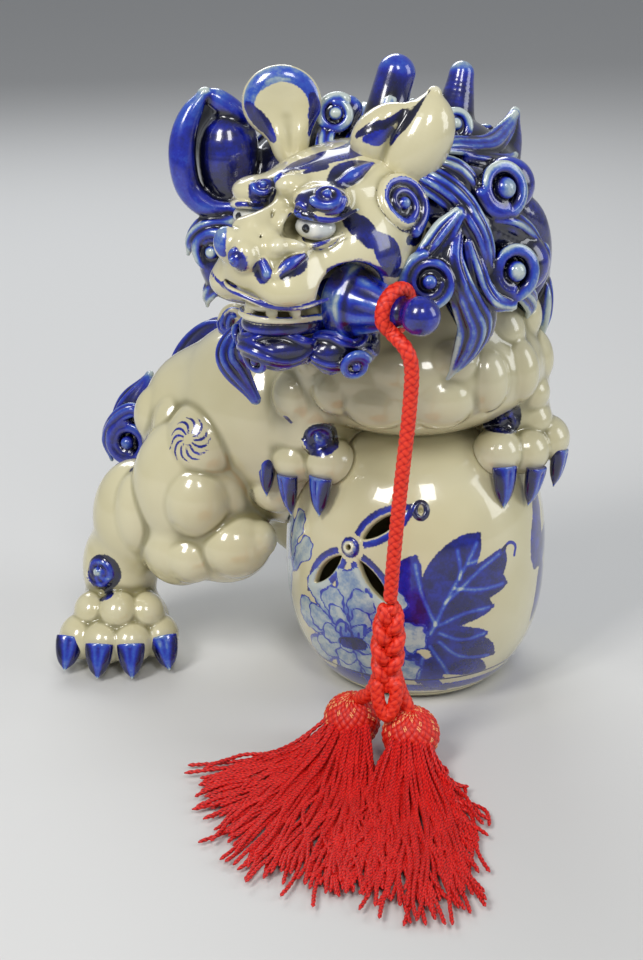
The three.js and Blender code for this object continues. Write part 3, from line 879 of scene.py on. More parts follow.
CORD_ROUTE = [
    noose_point(-96, -2.4), noose_point(-150, -1.6), noose_point(165, -0.8), noose_point(120, 0),
    noose_point(75, 0), noose_point(30, -0.4), noose_point(-15, -0.6), noose_point(-50, 1),
    KNOB + [-4.2, -2.2, -9.6], KNOB + [-2.4, -2, -16],
    [-7.2, -81, 122], [-8.4, -80.5, 108], [-9.6, -79.5, 94], [-10.6, -78.5, 80],
    [-11.4, -77.6, 68], [-12, -77, 57.3],
]
KNOT_TOP, KNOT_FOOT = np.array([-12, -76.8, 58.0]), np.array([-12.8, -75.0, 25.0])
TASSEL_HEAD = 9.6
TASSELS = {
    "right": {
        "head": [-23.5, -65, 9.9],
        "leg": [[-14.5, -76, 34], [-16.5, -74, 27], [-18.5, -72, 22.5], [-20.5, -68.6, 20]],
        "skirt": [-27, -75, 8],
        "tips": [
            (-74, -85), (-72, -98), (-69, -112), (-66, -127), (-61, -141), (-50, -150), (-40, -153),
            (-30, -157), (-20, -153), (-12, -146)
        ],
    },
    "left": {
        "head": [-4.5, -75, 9.9],
        "leg": [[-10.4, -75, 34], [-8.6, -73.6, 27], [-7.2, -74, 23], [-5.8, -74.8, 20]],
        "skirt": [-4.6, -86, 8],
        "tips": [
            (-36, -146), (-28, -155), (-19, -161), (-10, -168), (-1, -169), (7, -163), (10, -151),
            (12, -136), (13, -118), (11, -102)
        ],
    },
}
STRANDS = 150
STRAND_RADIUS = 0.66
STRAND_SIDES = 6
TWIST_LENGTH = 2.3
PLAIT_LENGTH, PLAIT_STRANDS = 5.2, 4


def braided_tube(path, radius, around, spacing=0.32):
    """A tube whose surface is a plait of strands that cross over and under each other."""
    path, _ = smooth_path(path, None, spacing)
    along = distance_along(path)
    side, up = turning_frames(path)
    turn = np.arange(around) / around
    u = along[:, None] / PLAIT_LENGTH
    one = turn[None] * PLAIT_STRANDS + u * PLAIT_STRANDS / 2
    two = turn[None] * PLAIT_STRANDS - u * PLAIT_STRANDS / 2
    ridge_one = np.sqrt(np.maximum(1 - (2 * (one % 1) - 1) ** 2, 0))
    ridge_two = np.sqrt(np.maximum(1 - (2 * (two % 1) - 1) ** 2, 0))
    over = 0.5 + 0.5 * np.cos(math.pi * (np.floor(one) + np.floor(two)))
    height = np.maximum(ridge_one * (0.62 + 0.38 * over), ridge_two * (1.0 - 0.38 * over))
    r = radius * (0.78 + 0.27 * height)
    ends = np.minimum(along, along[-1] - along)
    r = r * np.sqrt(np.clip(ends / (radius * 0.8) + 0.15, 0, 1))[:, None]
    points = tube_points(path, r, turn * 2 * math.pi, side, up)
    return points, capped_tube_faces(len(path), around), height.reshape(-1), path


def strand_tube(path, radius, phase):
    """A two-ply twisted strand."""
    along = distance_along(path)
    side, up = turning_frames(path)
    turn = ring_angles(STRAND_SIDES)
    lobe = np.cos(turn[None] + along[:, None] / TWIST_LENGTH * math.pi + phase) ** 2
    r = radius * (0.68 + 0.5 * lobe)
    tip = np.clip((along[-1] - along) / 1.5 + 0.3, 0, 1)
    points = tube_points(path, r * tip[:, None], turn, side, up)
    return points, capped_tube_faces(len(path), STRAND_SIDES), lobe.reshape(-1)


def silk_piece(name, parts, nodes, material=CORD_RED, gold_thread_glint=None):
    points, faces, relief = joined(parts)
    gold_thread_glint = np.zeros(len(points)) if gold_thread_glint is None else gold_thread_glint
    attributes = {"relief": relief, "gold_thread_glint": gold_thread_glint}
    return new_piece(name, points, faces, material, nodes, None, attributes)


def knot_piece():
    """Three strands plaited round each other, with a bight below that the tassels hang from."""
    t = np.linspace(0.03, 0.98, 34)
    middle = KNOT_TOP + t[:, None] * (KNOT_FOOT - KNOT_TOP)
    swell = np.sin(np.clip(t * 1.04, 0, 1) * math.pi) ** 0.45
    parts = []
    for phase in (0, 2 * math.pi / 3, 4 * math.pi / 3):
        angle = t * 2 * math.pi * 1.55 + phase
        sway = np.stack(
            [3.5 * swell * np.sin(angle), 2.3 * swell * np.sin(2 * angle), 0 * angle], 1
        )
        p, f, v, _ = braided_tube(middle + sway, CORD_DIAMETER / 2 - 0.1, around=36, spacing=0.36)
        parts.append((p, f, v))
    bight = [
        [-16.0, -77, 31], [-15.2, -78, 23], [-12.6, -78.6, 18.4], [-10, -78, 23], [-9.4, -77, 31]
    ]
    p, f, v, _ = braided_tube(bight, CORD_DIAMETER / 2, around=28, spacing=0.45)
    parts.append((p, f, v))
    return silk_piece("braided_knot", parts, ["cord_knot"])


def tassel_head(side, tassel):
    """A ball woven in checks of four threads, with gilt threads among them, painted only as glints
    on the crests of the weave.
    """
    centre = np.array(tassel["head"], float)
    skirt = unit(np.array(tassel["skirt"], float) - centre)
    top = unit(np.array([0, 0, 1.0]) - skirt[2] * skirt * 0.4)
    across = unit(np.cross(top, skirt))
    third = np.cross(across, top)
    rows, around = 110, 180
    v = np.linspace(0.02, math.pi - 0.02, rows)
    u = np.arange(around) / around * 2 * math.pi
    v, u = np.meshgrid(v, u, indexing="ij")
    one, two = u / (2 * math.pi) * 20 + v / math.pi * 9, u / (2 * math.pi) * 20 - v / math.pi * 9
    check = (np.floor(one) + np.floor(two)) % 2
    ridge = np.where(check > 0.5, np.abs(np.sin(one * math.pi)), np.abs(np.sin(two * math.pi)))
    cross = np.where(check > 0.5, np.abs(np.sin(two * math.pi)), np.abs(np.sin(one * math.pi)))
    height = 0.3 + 0.7 * ridge**0.6 * cross**0.4
    threads = 0.5 + 0.5 * np.cos(np.where(check > 0.5, one, two) * 2 * math.pi * 3)
    r = TASSEL_HEAD * (0.92 + 0.075 * height + 0.008 * threads)
    seed = np.sin(np.floor(one) * 12.9898 + np.floor(two) * 78.233) * 43758.5453
    # gilt thread painted only where it tops a crest of the weave, as a glint
    gold_thread_glint = ((seed - np.floor(seed)) > 0.66) * (threads > 0.5) * (height > 0.72) * 1.0
    direction = (
        np.cos(v)[..., None] * top
        + (np.sin(v) * np.cos(u))[..., None] * across
        + (np.sin(v) * np.sin(u))[..., None] * third
    )
    points = (centre + r[..., None] * direction).reshape(-1, 3)
    points[:, 2] = np.maximum(points[:, 2], 0.15)
    faces = [tuple(f[::-1]) for f in tube_faces(rows, around)]
    faces.append(tuple(range(around)))
    faces.append(tuple(range(rows * around - 1, (rows - 1) * around - 1, -1)))
    relief = (0.75 * height + 0.25 * threads).reshape(-1)
    name = side + "_woven_tassel_head"
    parts = [(points, faces, relief)]
    return silk_piece(name, parts, [side + "_tassel_head"], gold_thread_glint=gold_thread_glint.reshape(-1))


def tassel_skirt(side, tassel, seed):
    """Strands that leave the woven ball together and fan out over the floor, each its own way."""
    rng = np.random.default_rng(seed)
    head = np.array(tassel["head"], float)
    tips = np.array(tassel["tips"], float)
    places = np.linspace(0, 1, len(tips))
    parts = []
    for k in range(STRANDS):
        share = float(np.clip((k + 0.5) / STRANDS + rng.uniform(-0.04, 0.04), 0, 1))
        tip = np.array(
            [np.interp(share, places, tips[:, i]) for i in (0, 1)]
        ) + rng.normal(0, 2.0, 2)
        away = tip - head[:2]
        length = np.linalg.norm(away) * rng.uniform(0.84, 1.02)
        ahead = away / np.linalg.norm(away)
        across = np.array([-ahead[1], ahead[0]])
        layer = rng.uniform(0, 1) ** 0.8
        t = np.linspace(0, 1, 11)
        cycles, phase, sway = rng.uniform(0.7, 1.9), rng.uniform(0, 6.28), rng.uniform(0.8, 3.0)
        wave = sway * (np.sin(cycles * 6.28 * t + phase) - math.sin(phase)) * np.minimum(t * 1.6, 1)
        wave = wave + (share - 0.5) * 9 * (1 - t) ** 2 + rng.normal(0, 2.2) * t**3
        flat = head[:2] + ahead * (3.5 + (length - 3.5) * t)[:, None] + across * wave[:, None]
        fall = np.clip(1 - t / 0.42, 0, 1) ** 1.6
        z = 0.95 + layer * (2.6 - 1.4 * t) + (9.5 * layer + 1.5) * fall
        z = z + 0.8 * layer * np.sin(cycles * 9 * t + 2 * phase) ** 2
        path, _ = smooth_path(np.column_stack([flat, z]), None, 0.95)
        path[:, 2] = np.maximum(path[:, 2], 0.93)
        parts.append(strand_tube(path, STRAND_RADIUS, phase))
    return silk_piece(side + "_silk_skirt", parts, [side + "_tassel_skirt"], SKIRT_RED)


def add_cord(name, node, route, around):
    """A braided cord along a route."""
    p, f, v, path = braided_tube(route, CORD_DIAMETER / 2, around)
    cord = silk_piece(name, [(p, f, v)], [node])


def add_cords():
    knot = knot_piece()
    add_cord("braided_cord", "cord", CORD_ROUTE, 40)
    for seed, (side, tassel) in enumerate(TASSELS.items()):
        head = tassel_head(side, tassel)
        skirt = tassel_skirt(side, tassel, seed + 3)
        at, toward = np.array(tassel["head"], float), np.array(tassel["skirt"], float)
        route = tassel["leg"] + [at + [0, 0, 4], at + 0.4 * (toward - at), toward]
        name, node = side + "_braided_leg", side + "_tassel_leg"
        add_cord(name, node, route, 28)


# ---- the pierced ball ----
BALL_RADIUS, BALL_HALF_HEIGHT, BALL_FULLNESS = 46.2, 52.0, 2.5
BALL_CENTRE = np.array([0, 0, 45.0])
BALL_WALL = 4.0
BALL_SEAM_Z = 37.85
FOOT_HEIGHT = 3.0
BOSS_AZIMUTH, BOSS_ELEVATION = -32.0, 19.0
ALMOND_LENGTH, ALMOND_WIDTH, ALMOND_REACH = 17.0, 9.0, 13.5
ALMOND_TURNS = (43, 225, 311)
BEAD = (-1, 36)  # the small ring beyond the upper almond


def bearing(azimuth, elevation):
    """A direction from the ball's centre, by azimuth from the front to the viewer's right."""
    a, e = math.radians(azimuth), math.radians(elevation)
    return np.array([math.sin(a) * math.cos(e), -math.cos(a) * math.cos(e), math.sin(e)])


BOSS_OUT = bearing(BOSS_AZIMUTH, BOSS_ELEVATION)
BOSS_SIDE = bearing(BOSS_AZIMUTH + 90, 0)
BOSS_UP = np.cross(BOSS_OUT, BOSS_SIDE)


def ball_fullness(x, y, z):
    """1 on the ball's surface, less inside and more outside."""
    n = BALL_FULLNESS
    return ((np.hypot(x, y) / BALL_RADIUS) ** n + (np.abs(z) / BALL_HALF_HEIGHT) ** n) ** (1 / n)


def on_ball(azimuth, elevation):
    """The point on the ball's surface in a direction."""
    direction = bearing(azimuth, elevation)
    return BALL_CENTRE + direction / ball_fullness(*direction)


def ball_distance(grow):
    def shape(clay):
        x, y, z = clay.axes(clay.whole())
        z = z - BALL_CENTRE[2]
        r, n = np.hypot(x, y), BALL_FULLNESS
        full = ball_fullness(x, y, z)
        slope = np.sqrt(
            ((r / BALL_RADIUS) ** (n - 1) / BALL_RADIUS) ** 2
            + ((np.abs(z) / BALL_HALF_HEIGHT) ** (n - 1) / BALL_HALF_HEIGHT) ** 2
        ) * np.maximum(full, 1e-3) ** (1 - n)
        return clay.whole(), ((full - 1) / np.maximum(slope, 1e-3) - grow).astype(np.float32)

    return shape


def almond_distance(points, turn):
    """The distance across the ball's radius to the edge of one almond opening."""
    p = points - BALL_CENTRE
    u, v = p @ BOSS_SIDE, p @ BOSS_UP
    c, s = math.cos(math.radians(turn)), math.sin(math.radians(turn))
    along, across = u * c + v * s - ALMOND_REACH, -u * s + v * c
    half, wide = ALMOND_LENGTH / 2, ALMOND_WIDTH / 4
    radius = (half**2 + wide**2) / (2 * wide)
    distance = np.hypot(along, np.abs(across) + radius - wide) - radius
    return np.where(p @ BOSS_OUT > 0, distance, FAR)


def almond_cut(turn):
    def shape(clay):
        full = np.broadcast_arrays(*clay.axes(clay.whole()))
        points = np.stack(full, -1).reshape(-1, 3)
        distance = almond_distance(points, turn).reshape(full[0].shape)
        return clay.whole(), distance.astype(np.float32)

    return shape


def leaf(paint, start, end, bow, width, tone, petal=False):
    """A pointed leaf or a blunt petal on the ball, from one (azimuth, elevation) to another."""
    start, end = np.array(start, float), np.array(end, float)
    across = np.array([-(end - start)[1], (end - start)[0]]) * bow
    places = np.linspace(0, 1, 7)
    path = [on_ball(*(start + (end - start) * t + across * math.sin(t * math.pi))) for t in places]
    if petal:
        paint.petal(path, [width * (0.35 + 0.65 * t**0.6) for t in places], tone)
        return
    widths = [width * math.sin((0.08 + 0.9 * t) ** 0.8 * math.pi) ** 0.7 + 0.2 for t in places]
    paint.wash(path, widths, tone)


def flower(paint, at, size, tone):
    """A peony: rings of ruffled petals, the outer ones first."""
    azimuth, elevation = at
    widen = 1 / math.cos(math.radians(elevation))
    for count, near, far, width, turned in (
        (9, 8.5, 20, 6.2, 10), (8, 5.0, 14.5, 5.2, 30), (6, 2.0, 9.0, 4.2, 5),
        (4, 0.5, 5.0, 3.0, 50)
    ):
        for k in range(count):
            a = math.radians(turned + 360 * k / count)
            spots = [
                (
                    azimuth + 1.24 * r * size * math.cos(a) * widen,
                    elevation + 1.24 * r * size * math.sin(a)
                )
                for r in (near, far)
            ]
            leaf(paint, *spots, 0.03, width * size, tone, petal=True)
    paint.wash(
        [on_ball(azimuth - 4 * size, elevation - 3), on_ball(azimuth + 4 * size, elevation - 2)],
        2.4 * size, 0.85
    )
    for k in range(5):
        spot = (azimuth + (k * 3 - 6) * size, elevation + 3 * math.sin(k * 2.0))
        paint.line([on_ball(*spot), on_ball(spot[0] + 0.5, spot[1] + 4)], 0.5)


def ring_on_ball(azimuth, elevation, radius):
    """Points round a circle of radius degrees on the ball."""
    return [
        on_ball(azimuth + radius * math.cos(turn), elevation + radius * math.sin(turn))
        for turn in np.radians(360 * np.linspace(0, 1, 15))
    ]


def ball_paint():
    """A peony with a leaf spray to its right, buds to its left, and bands round the foot."""
    paint = Paint()
    for start, end, bow, width, tone in (
        ((6, -4), (25, 25), 0.1, 8.0, 0.8), ((14, 2), (38, 17), -0.12, 6.4, 0.85),
        ((16, 0), (39, 2), 0.1, 5.4, 0.8), ((-5, -8), (-3, 18), 0.14, 6.4, 0.78),
        ((2, -6), (8, 15), -0.1, 5.6, 0.85), ((6, -10), (32, -7), 0.1, 5.6, 0.85),
        ((6, -16), (30, -19), -0.1, 5.2, 0.78), ((8, -24), (37, -31), 0.1, 5.4, 0.85),
        ((2, -32), (37, -43), 0.12, 5.0, 0.8), ((-2, -30), (21, -52), -0.1, 5.0, 0.84),
        ((-6, -26), (0, -46), 0.1, 4.6, 0.8), ((2, -20), (26, -27), 0.1, 4.6, 0.86)
    ):
        leaf(paint, start, end, bow, width, tone)
    for azimuth, elevation, radius in ((4, -14, 6.5), (10, 0, 6.5), (12, -26, 5.5), (6, -36, 4.5)):
        paint.wash([on_ball(azimuth, elevation)], radius, 0.8)
    for spots in (
        ((4, -16), (12, 2), (24, 22)), ((10, -2), (24, 10), (36, 16)), ((6, -12), (0, 2), (-3, 15)),
        ((8, -12), (18, -8), (30, -7)), ((8, -16), (18, -20), (29, -19)),
        ((8, -20), (18, -28), (34, -31)), ((4, -22), (12, -34), (20, -48)),
        ((14, 4), (26, 2), (37, 2)), ((2, -24), (0, -34), (-1, -44)), ((16, 8), (16, 14), (15, 20)),
        ((20, 14), (26, 16), (28, 22))
    ):
        paint.vein([on_ball(*spot) for spot in spots])
    paint.line([on_ball(36, 16), on_ball(41, 19), on_ball(45, 17), on_ball(44, 13)], 0.6)
    flower(paint, (-31, -22), 1.0, 0.22)
    for start, end in (
        ((-76, -2), (-78, 18)), ((-72, 0), (-66, 21)), ((-70, -2), (-58, 12)),
        ((-80, -22), (-76, -4))
    ):
        leaf(paint, start, end, 0.05, 4.2, 0.2, petal=True)
    for start, end, bow in (
        ((62, 4), (74, 30), 0.14), ((60, 8), (66, 30), -0.1), ((66, 4), (86, 12), 0.1),
        ((70, 0), (64, -24), 0.1)
    ):
        leaf(paint, start, end, bow, 4.6, 0.8)
    paint.line(ring_on_ball(*BEAD, 3.2), 0.7)
    paint.line([on_ball(-4.5, 35), on_ball(-9, 33.5), on_ball(-12.5, 33)], 0.6)
    flower(paint, (150, -4), 0.95, 0.22)
    for start, end, bow in (
        ((124, -8), (98, 4), 0.1), ((126, -16), (102, -24), -0.1), ((124, 0), (104, 22), 0.1),
        ((176, -8), (202, 4), -0.1), ((176, -16), (200, -26), 0.1), ((178, 2), (196, 24), -0.1),
        ((150, -28), (132, -44), 0.1), ((154, -28), (172, -44), 0.1)
    ):
        leaf(paint, start, end, bow, 5.6, 0.82)
    for azimuth in (232, 252):
        for turn in range(0, 360, 72):
            a = math.radians(turn + azimuth)
            tip = (azimuth + 9 * math.cos(a), 6 + 8 * math.sin(a))
            leaf(paint, (azimuth, 6), tip, 0.05, 3.2, 0.3, petal=True)
        paint.wash([on_ball(azimuth, 6)], 1.8, 0.85)
        leaf(paint, (azimuth, -4), (azimuth + 6, -30), 0.15, 3.6, 0.8)
    return paint


def add_ball():
    clay = Clay([-48, -48, 2], [48, 48, 98], BALL_VOXEL)
    clay.add(ball_distance(0))
    clay.cut(ball_distance(-BALL_WALL))
    for turn in ALMOND_TURNS:
        clay.cut(almond_cut(turn), 1.4)
    boss = on_ball(BOSS_AZIMUTH, BOSS_ELEVATION)
    clay.add(lump(boss - BOSS_OUT * 0.8, [2.9, 2.9, 2.9]), 0.8)
    clay.cut(rope([boss - BOSS_OUT * 8, boss + BOSS_OUT * 6], [1.0, 1.0]), 0.5)
    clay.add(rope(ring_on_ball(*BEAD, 2.6), [0.8] * 15, reach=2.5), 0.5)
    clay.cut(lump(on_ball(*BEAD), [0.9, 0.9, 0.9]), 0.3)
    floor = FOOT_HEIGHT + 0.1 - clay.axes(clay.whole())[2]
    clay.field = np.maximum(clay.field, floor + 0 * clay.field)
    points, quads = clay.mesh()
    normals = clay.normals(points)
    attributes = ball_paint().on(points, normals, 0.42)
    outer = ball_fullness(*(points - BALL_CENTRE).T) > 0.96
    for turn in ALMOND_TURNS:
        almond = almond_distance(points, turn)
        rim = np.abs(almond - 1.9) - 1.15
        inside = outer & (rim < attributes["wash"])
        attributes["tone"] = np.where(inside, 0.86, attributes["tone"])
        attributes["wash"] = np.where(inside, rim, attributes["wash"])
        attributes["wash"] = np.where(almond < 0.2, FAR, attributes["wash"])
        attributes["line"] = np.where(almond < 2.6, FAR, attributes["line"])
    ring = np.linalg.norm(points - boss, axis=1)
    around = np.abs(ring - 3.0) - 0.6
    attributes["wash"] = np.where(ring < 5.0, np.minimum(around, 3.0), attributes["wash"])
    attributes["tone"] = np.where(ring < 5.0, 0.8, attributes["tone"])
    band = np.abs(points[:, 2] - 7.0) - 2.0
    low = outer & (points[:, 2] < 12)
    attributes["tone"] = np.where(low, 0.72, attributes["tone"])
    attributes["wash"] = np.where(low, np.minimum(band, attributes["wash"] + 2), attributes["wash"])
    thin = np.abs(points[:, 2] - 11.6) - 0.35
    attributes["line"] = np.where(outer, np.minimum(attributes["line"], thin), attributes["line"])
    for key in ("wash", "line"):
        attributes[key] = np.where(outer, attributes[key], FAR)
    # relief paints shade into hollows and highlights onto raised rims
    attributes["relief"] = clay.relief(points, 1.5)
    upper = points[quads].mean(1)[:, 2] > BALL_SEAM_Z
    for name, chosen, node in (
        ("pierced_ball_dome", upper, "ball_dome"), ("pierced_ball_bowl", ~upper, "ball_bowl")
    ):
        split_piece(name, points, quads[chosen], normals, attributes, node, bridge=True)
    add_foot()


def add_foot():
    """The ball's foot ring, with painted shade along the edge that stands on the floor."""
    rise = np.array([0, 0.0, 0.4, 1.6, FOOT_HEIGHT, FOOT_HEIGHT])
    level = np.abs(BALL_CENTRE[2] - FOOT_HEIGHT) / BALL_HALF_HEIGHT
    outer = BALL_RADIUS * (1 - level**BALL_FULLNESS) ** 0.4
    radii = np.array([0.0, outer - 4.2, outer - 3.0, outer - 1.6, outer - 0.1, 0.0])
    around = 160
    turn = ring_angles(around)
    levels = np.broadcast_to(rise[:, None], (len(rise), around))
    x, y = radii[:, None] * np.cos(turn), radii[:, None] * np.sin(turn)
    points = np.stack([x, y, levels], -1).reshape(-1, 3)
    keep = points[around - 1 : 5 * around + 1]
    faces = [tuple(map(int, f + 1)) for f in tube_faces(4, around)]
    faces += [(0, 1 + (k + 1) % around, 1 + k) for k in range(around)]
    last = 1 + 4 * around
    faces += [(last, 1 + 3 * around + k, 1 + 3 * around + (k + 1) % around) for k in range(around)]
    keep[0], keep[-1] = [0, 0, 0], [0, 0, FOOT_HEIGHT]
    attributes = unpainted(len(keep), np.full(len(keep), 0.5))
    # painted shade along the bottom edge where it meets the floor
    attributes["relief"] = np.where(keep[:, 2] < 1.0, -0.25, 0.0)
    new_piece("foot_ring", keep, faces, GLAZE, ["ball_foot"], None, attributes)


# ---- the body ----
TORSO = [
    ([-3, -4, 117], [46, 41, 25], 0), ([0, 0, 134], [40, 32, 20], 0),
    ([-50, 12, 95], [38, 31, 32], -29), ([-78, 24, 84], [21, 23, 28], -29),
    ([-42, 8, 76], [24, 22, 24], 0), ([-90, 44, 84], [13, 12, 13], 0)
]
LEGS = {
    "right_foreleg": [([-36, -13, 106], [15, 15, 15]), ([-37, -13, 94], [14, 13, 11])],
    "left_foreleg": [([30, -4, 108], [15, 15, 15]), ([32, -7, 97], [14, 13, 11])],
    "right_hind_leg": [
        ([-78, 2, 68], [23, 17, 27]), ([-68, -2, 48], [17, 14, 15]), ([-84, 0, 45], [14, 13, 14]),
        ([-101, 12, 52], [16, 15, 22]), ([-108, 15, 31], [14, 14, 20]),
        ([-108, 10, 12], [18, 16, 14])
    ],
    "left_hind_leg": [
        ([-54, 40, 64], [20, 15, 24]), ([-42, 48, 42], [14, 13, 18]), ([-34, 51, 27], [13, 12, 15]),
        ([-24, 55, 13], [17, 14, 15])
    ],
}
TOES = {
    "right_foreleg": [
        ([-49, -10, 88], 9), ([-42, -17, 85], 9), ([-31, -22, 86], 9), ([-51, -4, 95], 7),
        ([-43, -15, 95], 7.5)
    ],
    "left_foreleg": [
        ([26, -22, 89], 9), ([36, -17, 88], 9), ([44, -10, 90], 8.5), ([38, -11, 97], 8)
    ],
    "right_hind_leg": [
        ([-121, 0, 10], 9), ([-112.5, -4, 10], 9), ([-103, -4, 10], 9), ([-94, 1, 10], 8.5),
        ([-117, 3, 19], 7.5), ([-107.5, 0, 20], 8), ([-98, 2, 19], 7.5)
    ],
    "left_hind_leg": [([-6, 64, 9], 8), ([-6, 56, 9], 8.5), ([-13, 70, 9], 8), ([-12, 48, 9], 8)],
}
CLAWS = {
    "right_foreclaw": [
        ([-51, -14, 82], [-52, -17, 71]), ([-44, -23, 79], [-43.5, -24.5, 67]),
        ([-33, -28, 80], [-34, -29.5, 68.5])
    ],
    "left_foreclaw": [
        ([27, -29, 84], [27.5, -32, 72.5]), ([38, -23, 82], [36.5, -24, 70.5]),
        ([47, -13, 85], [46, -15, 74])
    ],
    "right_hind_claw": [
        ([-125, -6, 10], [-126.5, -11.5, 1.6]), ([-113.5, -12, 10], [-114, -17, 1.2]),
        ([-102, -12, 10], [-101.5, -17, 1.2]), ([-90.5, -5.5, 10], [-88.5, -11, 1.6])
    ],
    "left_hind_claw": [
        ([2, 66, 8], [8.5, 66, 1.4]), ([2, 55, 8], [8.5, 54, 1.4]), ([-6, 75, 8], [-1, 78.5, 1.4]),
        ([-5, 46, 8], [1, 42.5, 1.4])
    ],
}
# Muscles and chest lobes: a place near the surface, half width, half height, how far it stands out.
LOBES = [
    ([-44.5, -23.5, 110], 8.6, 9.2), ([-31.5, -34.5, 112], 7.4, 8.2),
    ([-16.5, -40.1, 108], 11.6, 9.2), ([6.1, -41.4, 110], 11.4, 10.2), ([22, -37, 118], 7.6, 10.4),
    ([34, -26, 119], 7.8, 10.8), ([28, -22, 132], 8.0, 8.8), ([38, -11, 134], 7.6, 9.0),
    ([-48, -21, 124], 6.8, 6.0), ([-38.4, -29, 123], 6.2, 5.4), ([43, -6, 120], 8.0, 10.4),
    ([42, 12, 128], 9.0, 10.6), ([44, 12, 108], 9.0, 10.0), ([-10, -41, 124], 9.0, 7.0),
    ([10, -40, 127], 9.0, 7.4), ([38, -12, 107], 7.0, 7.0), ([-76, -9, 90], 14.0, 15.0),
    ([-90, 4.3, 94], 6.4, 9.0), ([-94, 18, 90], 8.0, 10.0), ([-77, -12, 66], 12.0, 14.0),
    ([-80, -12, 43], 9.6, 9.4), ([-62, -14, 50], 12.6, 11.6), ([-51, -11, 68], 9.6, 8.6),
    ([-48, -10, 54], 7.5, 7.0), ([-101, -4, 58], 8.6, 15.0), ([-42, 36, 118], 12, 11),
    ([-18, 38, 122], 13, 12), ([8, 36, 120], 12, 12), ([30, 26, 122], 11, 12),
    ([-66, 42, 96], 13, 12), ([-42, 40, 98], 12, 11), ([-20, 38, 100], 11, 10),
    ([4, 38, 100], 11, 10), ([28, 30, 101], 10, 10), ([-54, 56, 66], 11, 14), ([-40, 56, 45], 9, 11)
]
# The curls on wrists and ankle: a place near the surface, the spiral's radius and the wash's.
JOINT_CURLS = [
    ([-34.8, -25.1, 95.5], 5.0, 6.0), ([27, -19, 99], 5.6, 6.8), ([-114.5, 3, 34.3], 5.6, 6.8)
]
PINWHEEL_ARMS = 11


def add_lobe(clay, at, wide, tall):
    spot, out, side, up = clay.frame(at)
    deep = min(wide, tall) * 0.92
    clay.add(lump(spot - out * deep * 0.62, [wide, tall, deep], axes=[side, up, out]), 1.0)


def body_groups(points):
    """Which of torso and legs each place belongs to: the one whose lumps are nearest."""
    names = ["torso", *LEGS]
    groups = [TORSO] + [
        [(at, half, 0) for at, half in LEGS[leg]] + [(at, [r, r, r], 0) for at, r in TOES[leg]]
        for leg in LEGS
    ]
    best = [np.min([lump_distance(points, *one) for one in lumps], axis=0) for lumps in groups]
    best[0] += 1.5
    return names, np.argmin(best, axis=0)


def body_paint(clay):
    """Wrist and ankle curls, the flank's pinwheel, and short strokes on the joints."""
    paint = Paint()
    for at, _, radius in JOINT_CURLS:
        spot, _, side, up = clay.frame(at)
        paint.wash([spot], radius, 0.95)
        turn = np.linspace(0.4, 3.4 * math.pi, 22)[:, None]
        r = (radius - 1.6) * turn / turn[-1]
        paint.vein(clay.snap(spot + r * (np.cos(turn) * side + np.sin(turn) * up)), 0.25)
    paint.wash(clay.snap([[-111, -1, 26], [-113, -1, 24.5]]), [2.6, 1.0], 0.8)
    hub, _, side, up = clay.frame([-77.5, -8.2, 88.4])
    for k in range(PINWHEEL_ARMS):
        angle = k / PINWHEEL_ARMS * 2 * math.pi
        arm = []
        for r, swing in ((2.0, 0), (3.8, 0.05), (5.6, 0.2), (7.4, 0.45), (8.8, 0.8)):
            arm.append(hub + r * (math.cos(angle + swing) * side + math.sin(angle + swing) * up))
        paint.line(clay.snap(arm), [0.3, 0.42, 0.5, 0.42, 0.2])
    for at in ([-44, -23, 104], [-96, 8, 64]):
        spot = clay.snap(at)[0]
        paint.wash([spot, spot + [1.5, 0, -1.5]], [1.2, 0.6], 0.7)
    return paint


def add_body():
    clay = Clay([-132, -48, 0], [56, 84, 152], BODY_VOXEL)
    for at, half, turn in TORSO:
        clay.add(lump(at, half, turn), 6.0)
    for leg in LEGS:
        for at, half in LEGS[leg]:
            clay.add(lump(at, half), 3.5)
    for at, wide, tall in LOBES:
        add_lobe(clay, at, wide, tall)
    for leg in LEGS:
        for at, radius in TOES[leg]:
            clay.add(lump(at, [radius * 0.96, radius * 1.05, radius * 0.95]), 0.9)
    for at, radius, _ in JOINT_CURLS:
        add_curl(clay, at, radius, 1.4, 1.6, 200, 1.8)
    z = clay.axes(clay.whole())[2]
    _, ball = ball_distance(0.15)(clay)
    clay.field = -smooth_min(-np.maximum(clay.field, 0.05 - z), ball, 0.4)
    paint = body_paint(clay)
    points, quads = clay.mesh()
    normals = clay.normals(points)
    attributes = paint.on(points, normals, 0.5)
    # relief paints shade into the creases between lobes and highlights onto the lobes
    attributes["relief"] = 0.75 * clay.relief(points, 2.4)
    names, owner = body_groups(points[quads].mean(1))
    for index, name in enumerate(names):
        split_piece("glazed_" + name, points, quads[owner == index], normals, attributes, name)


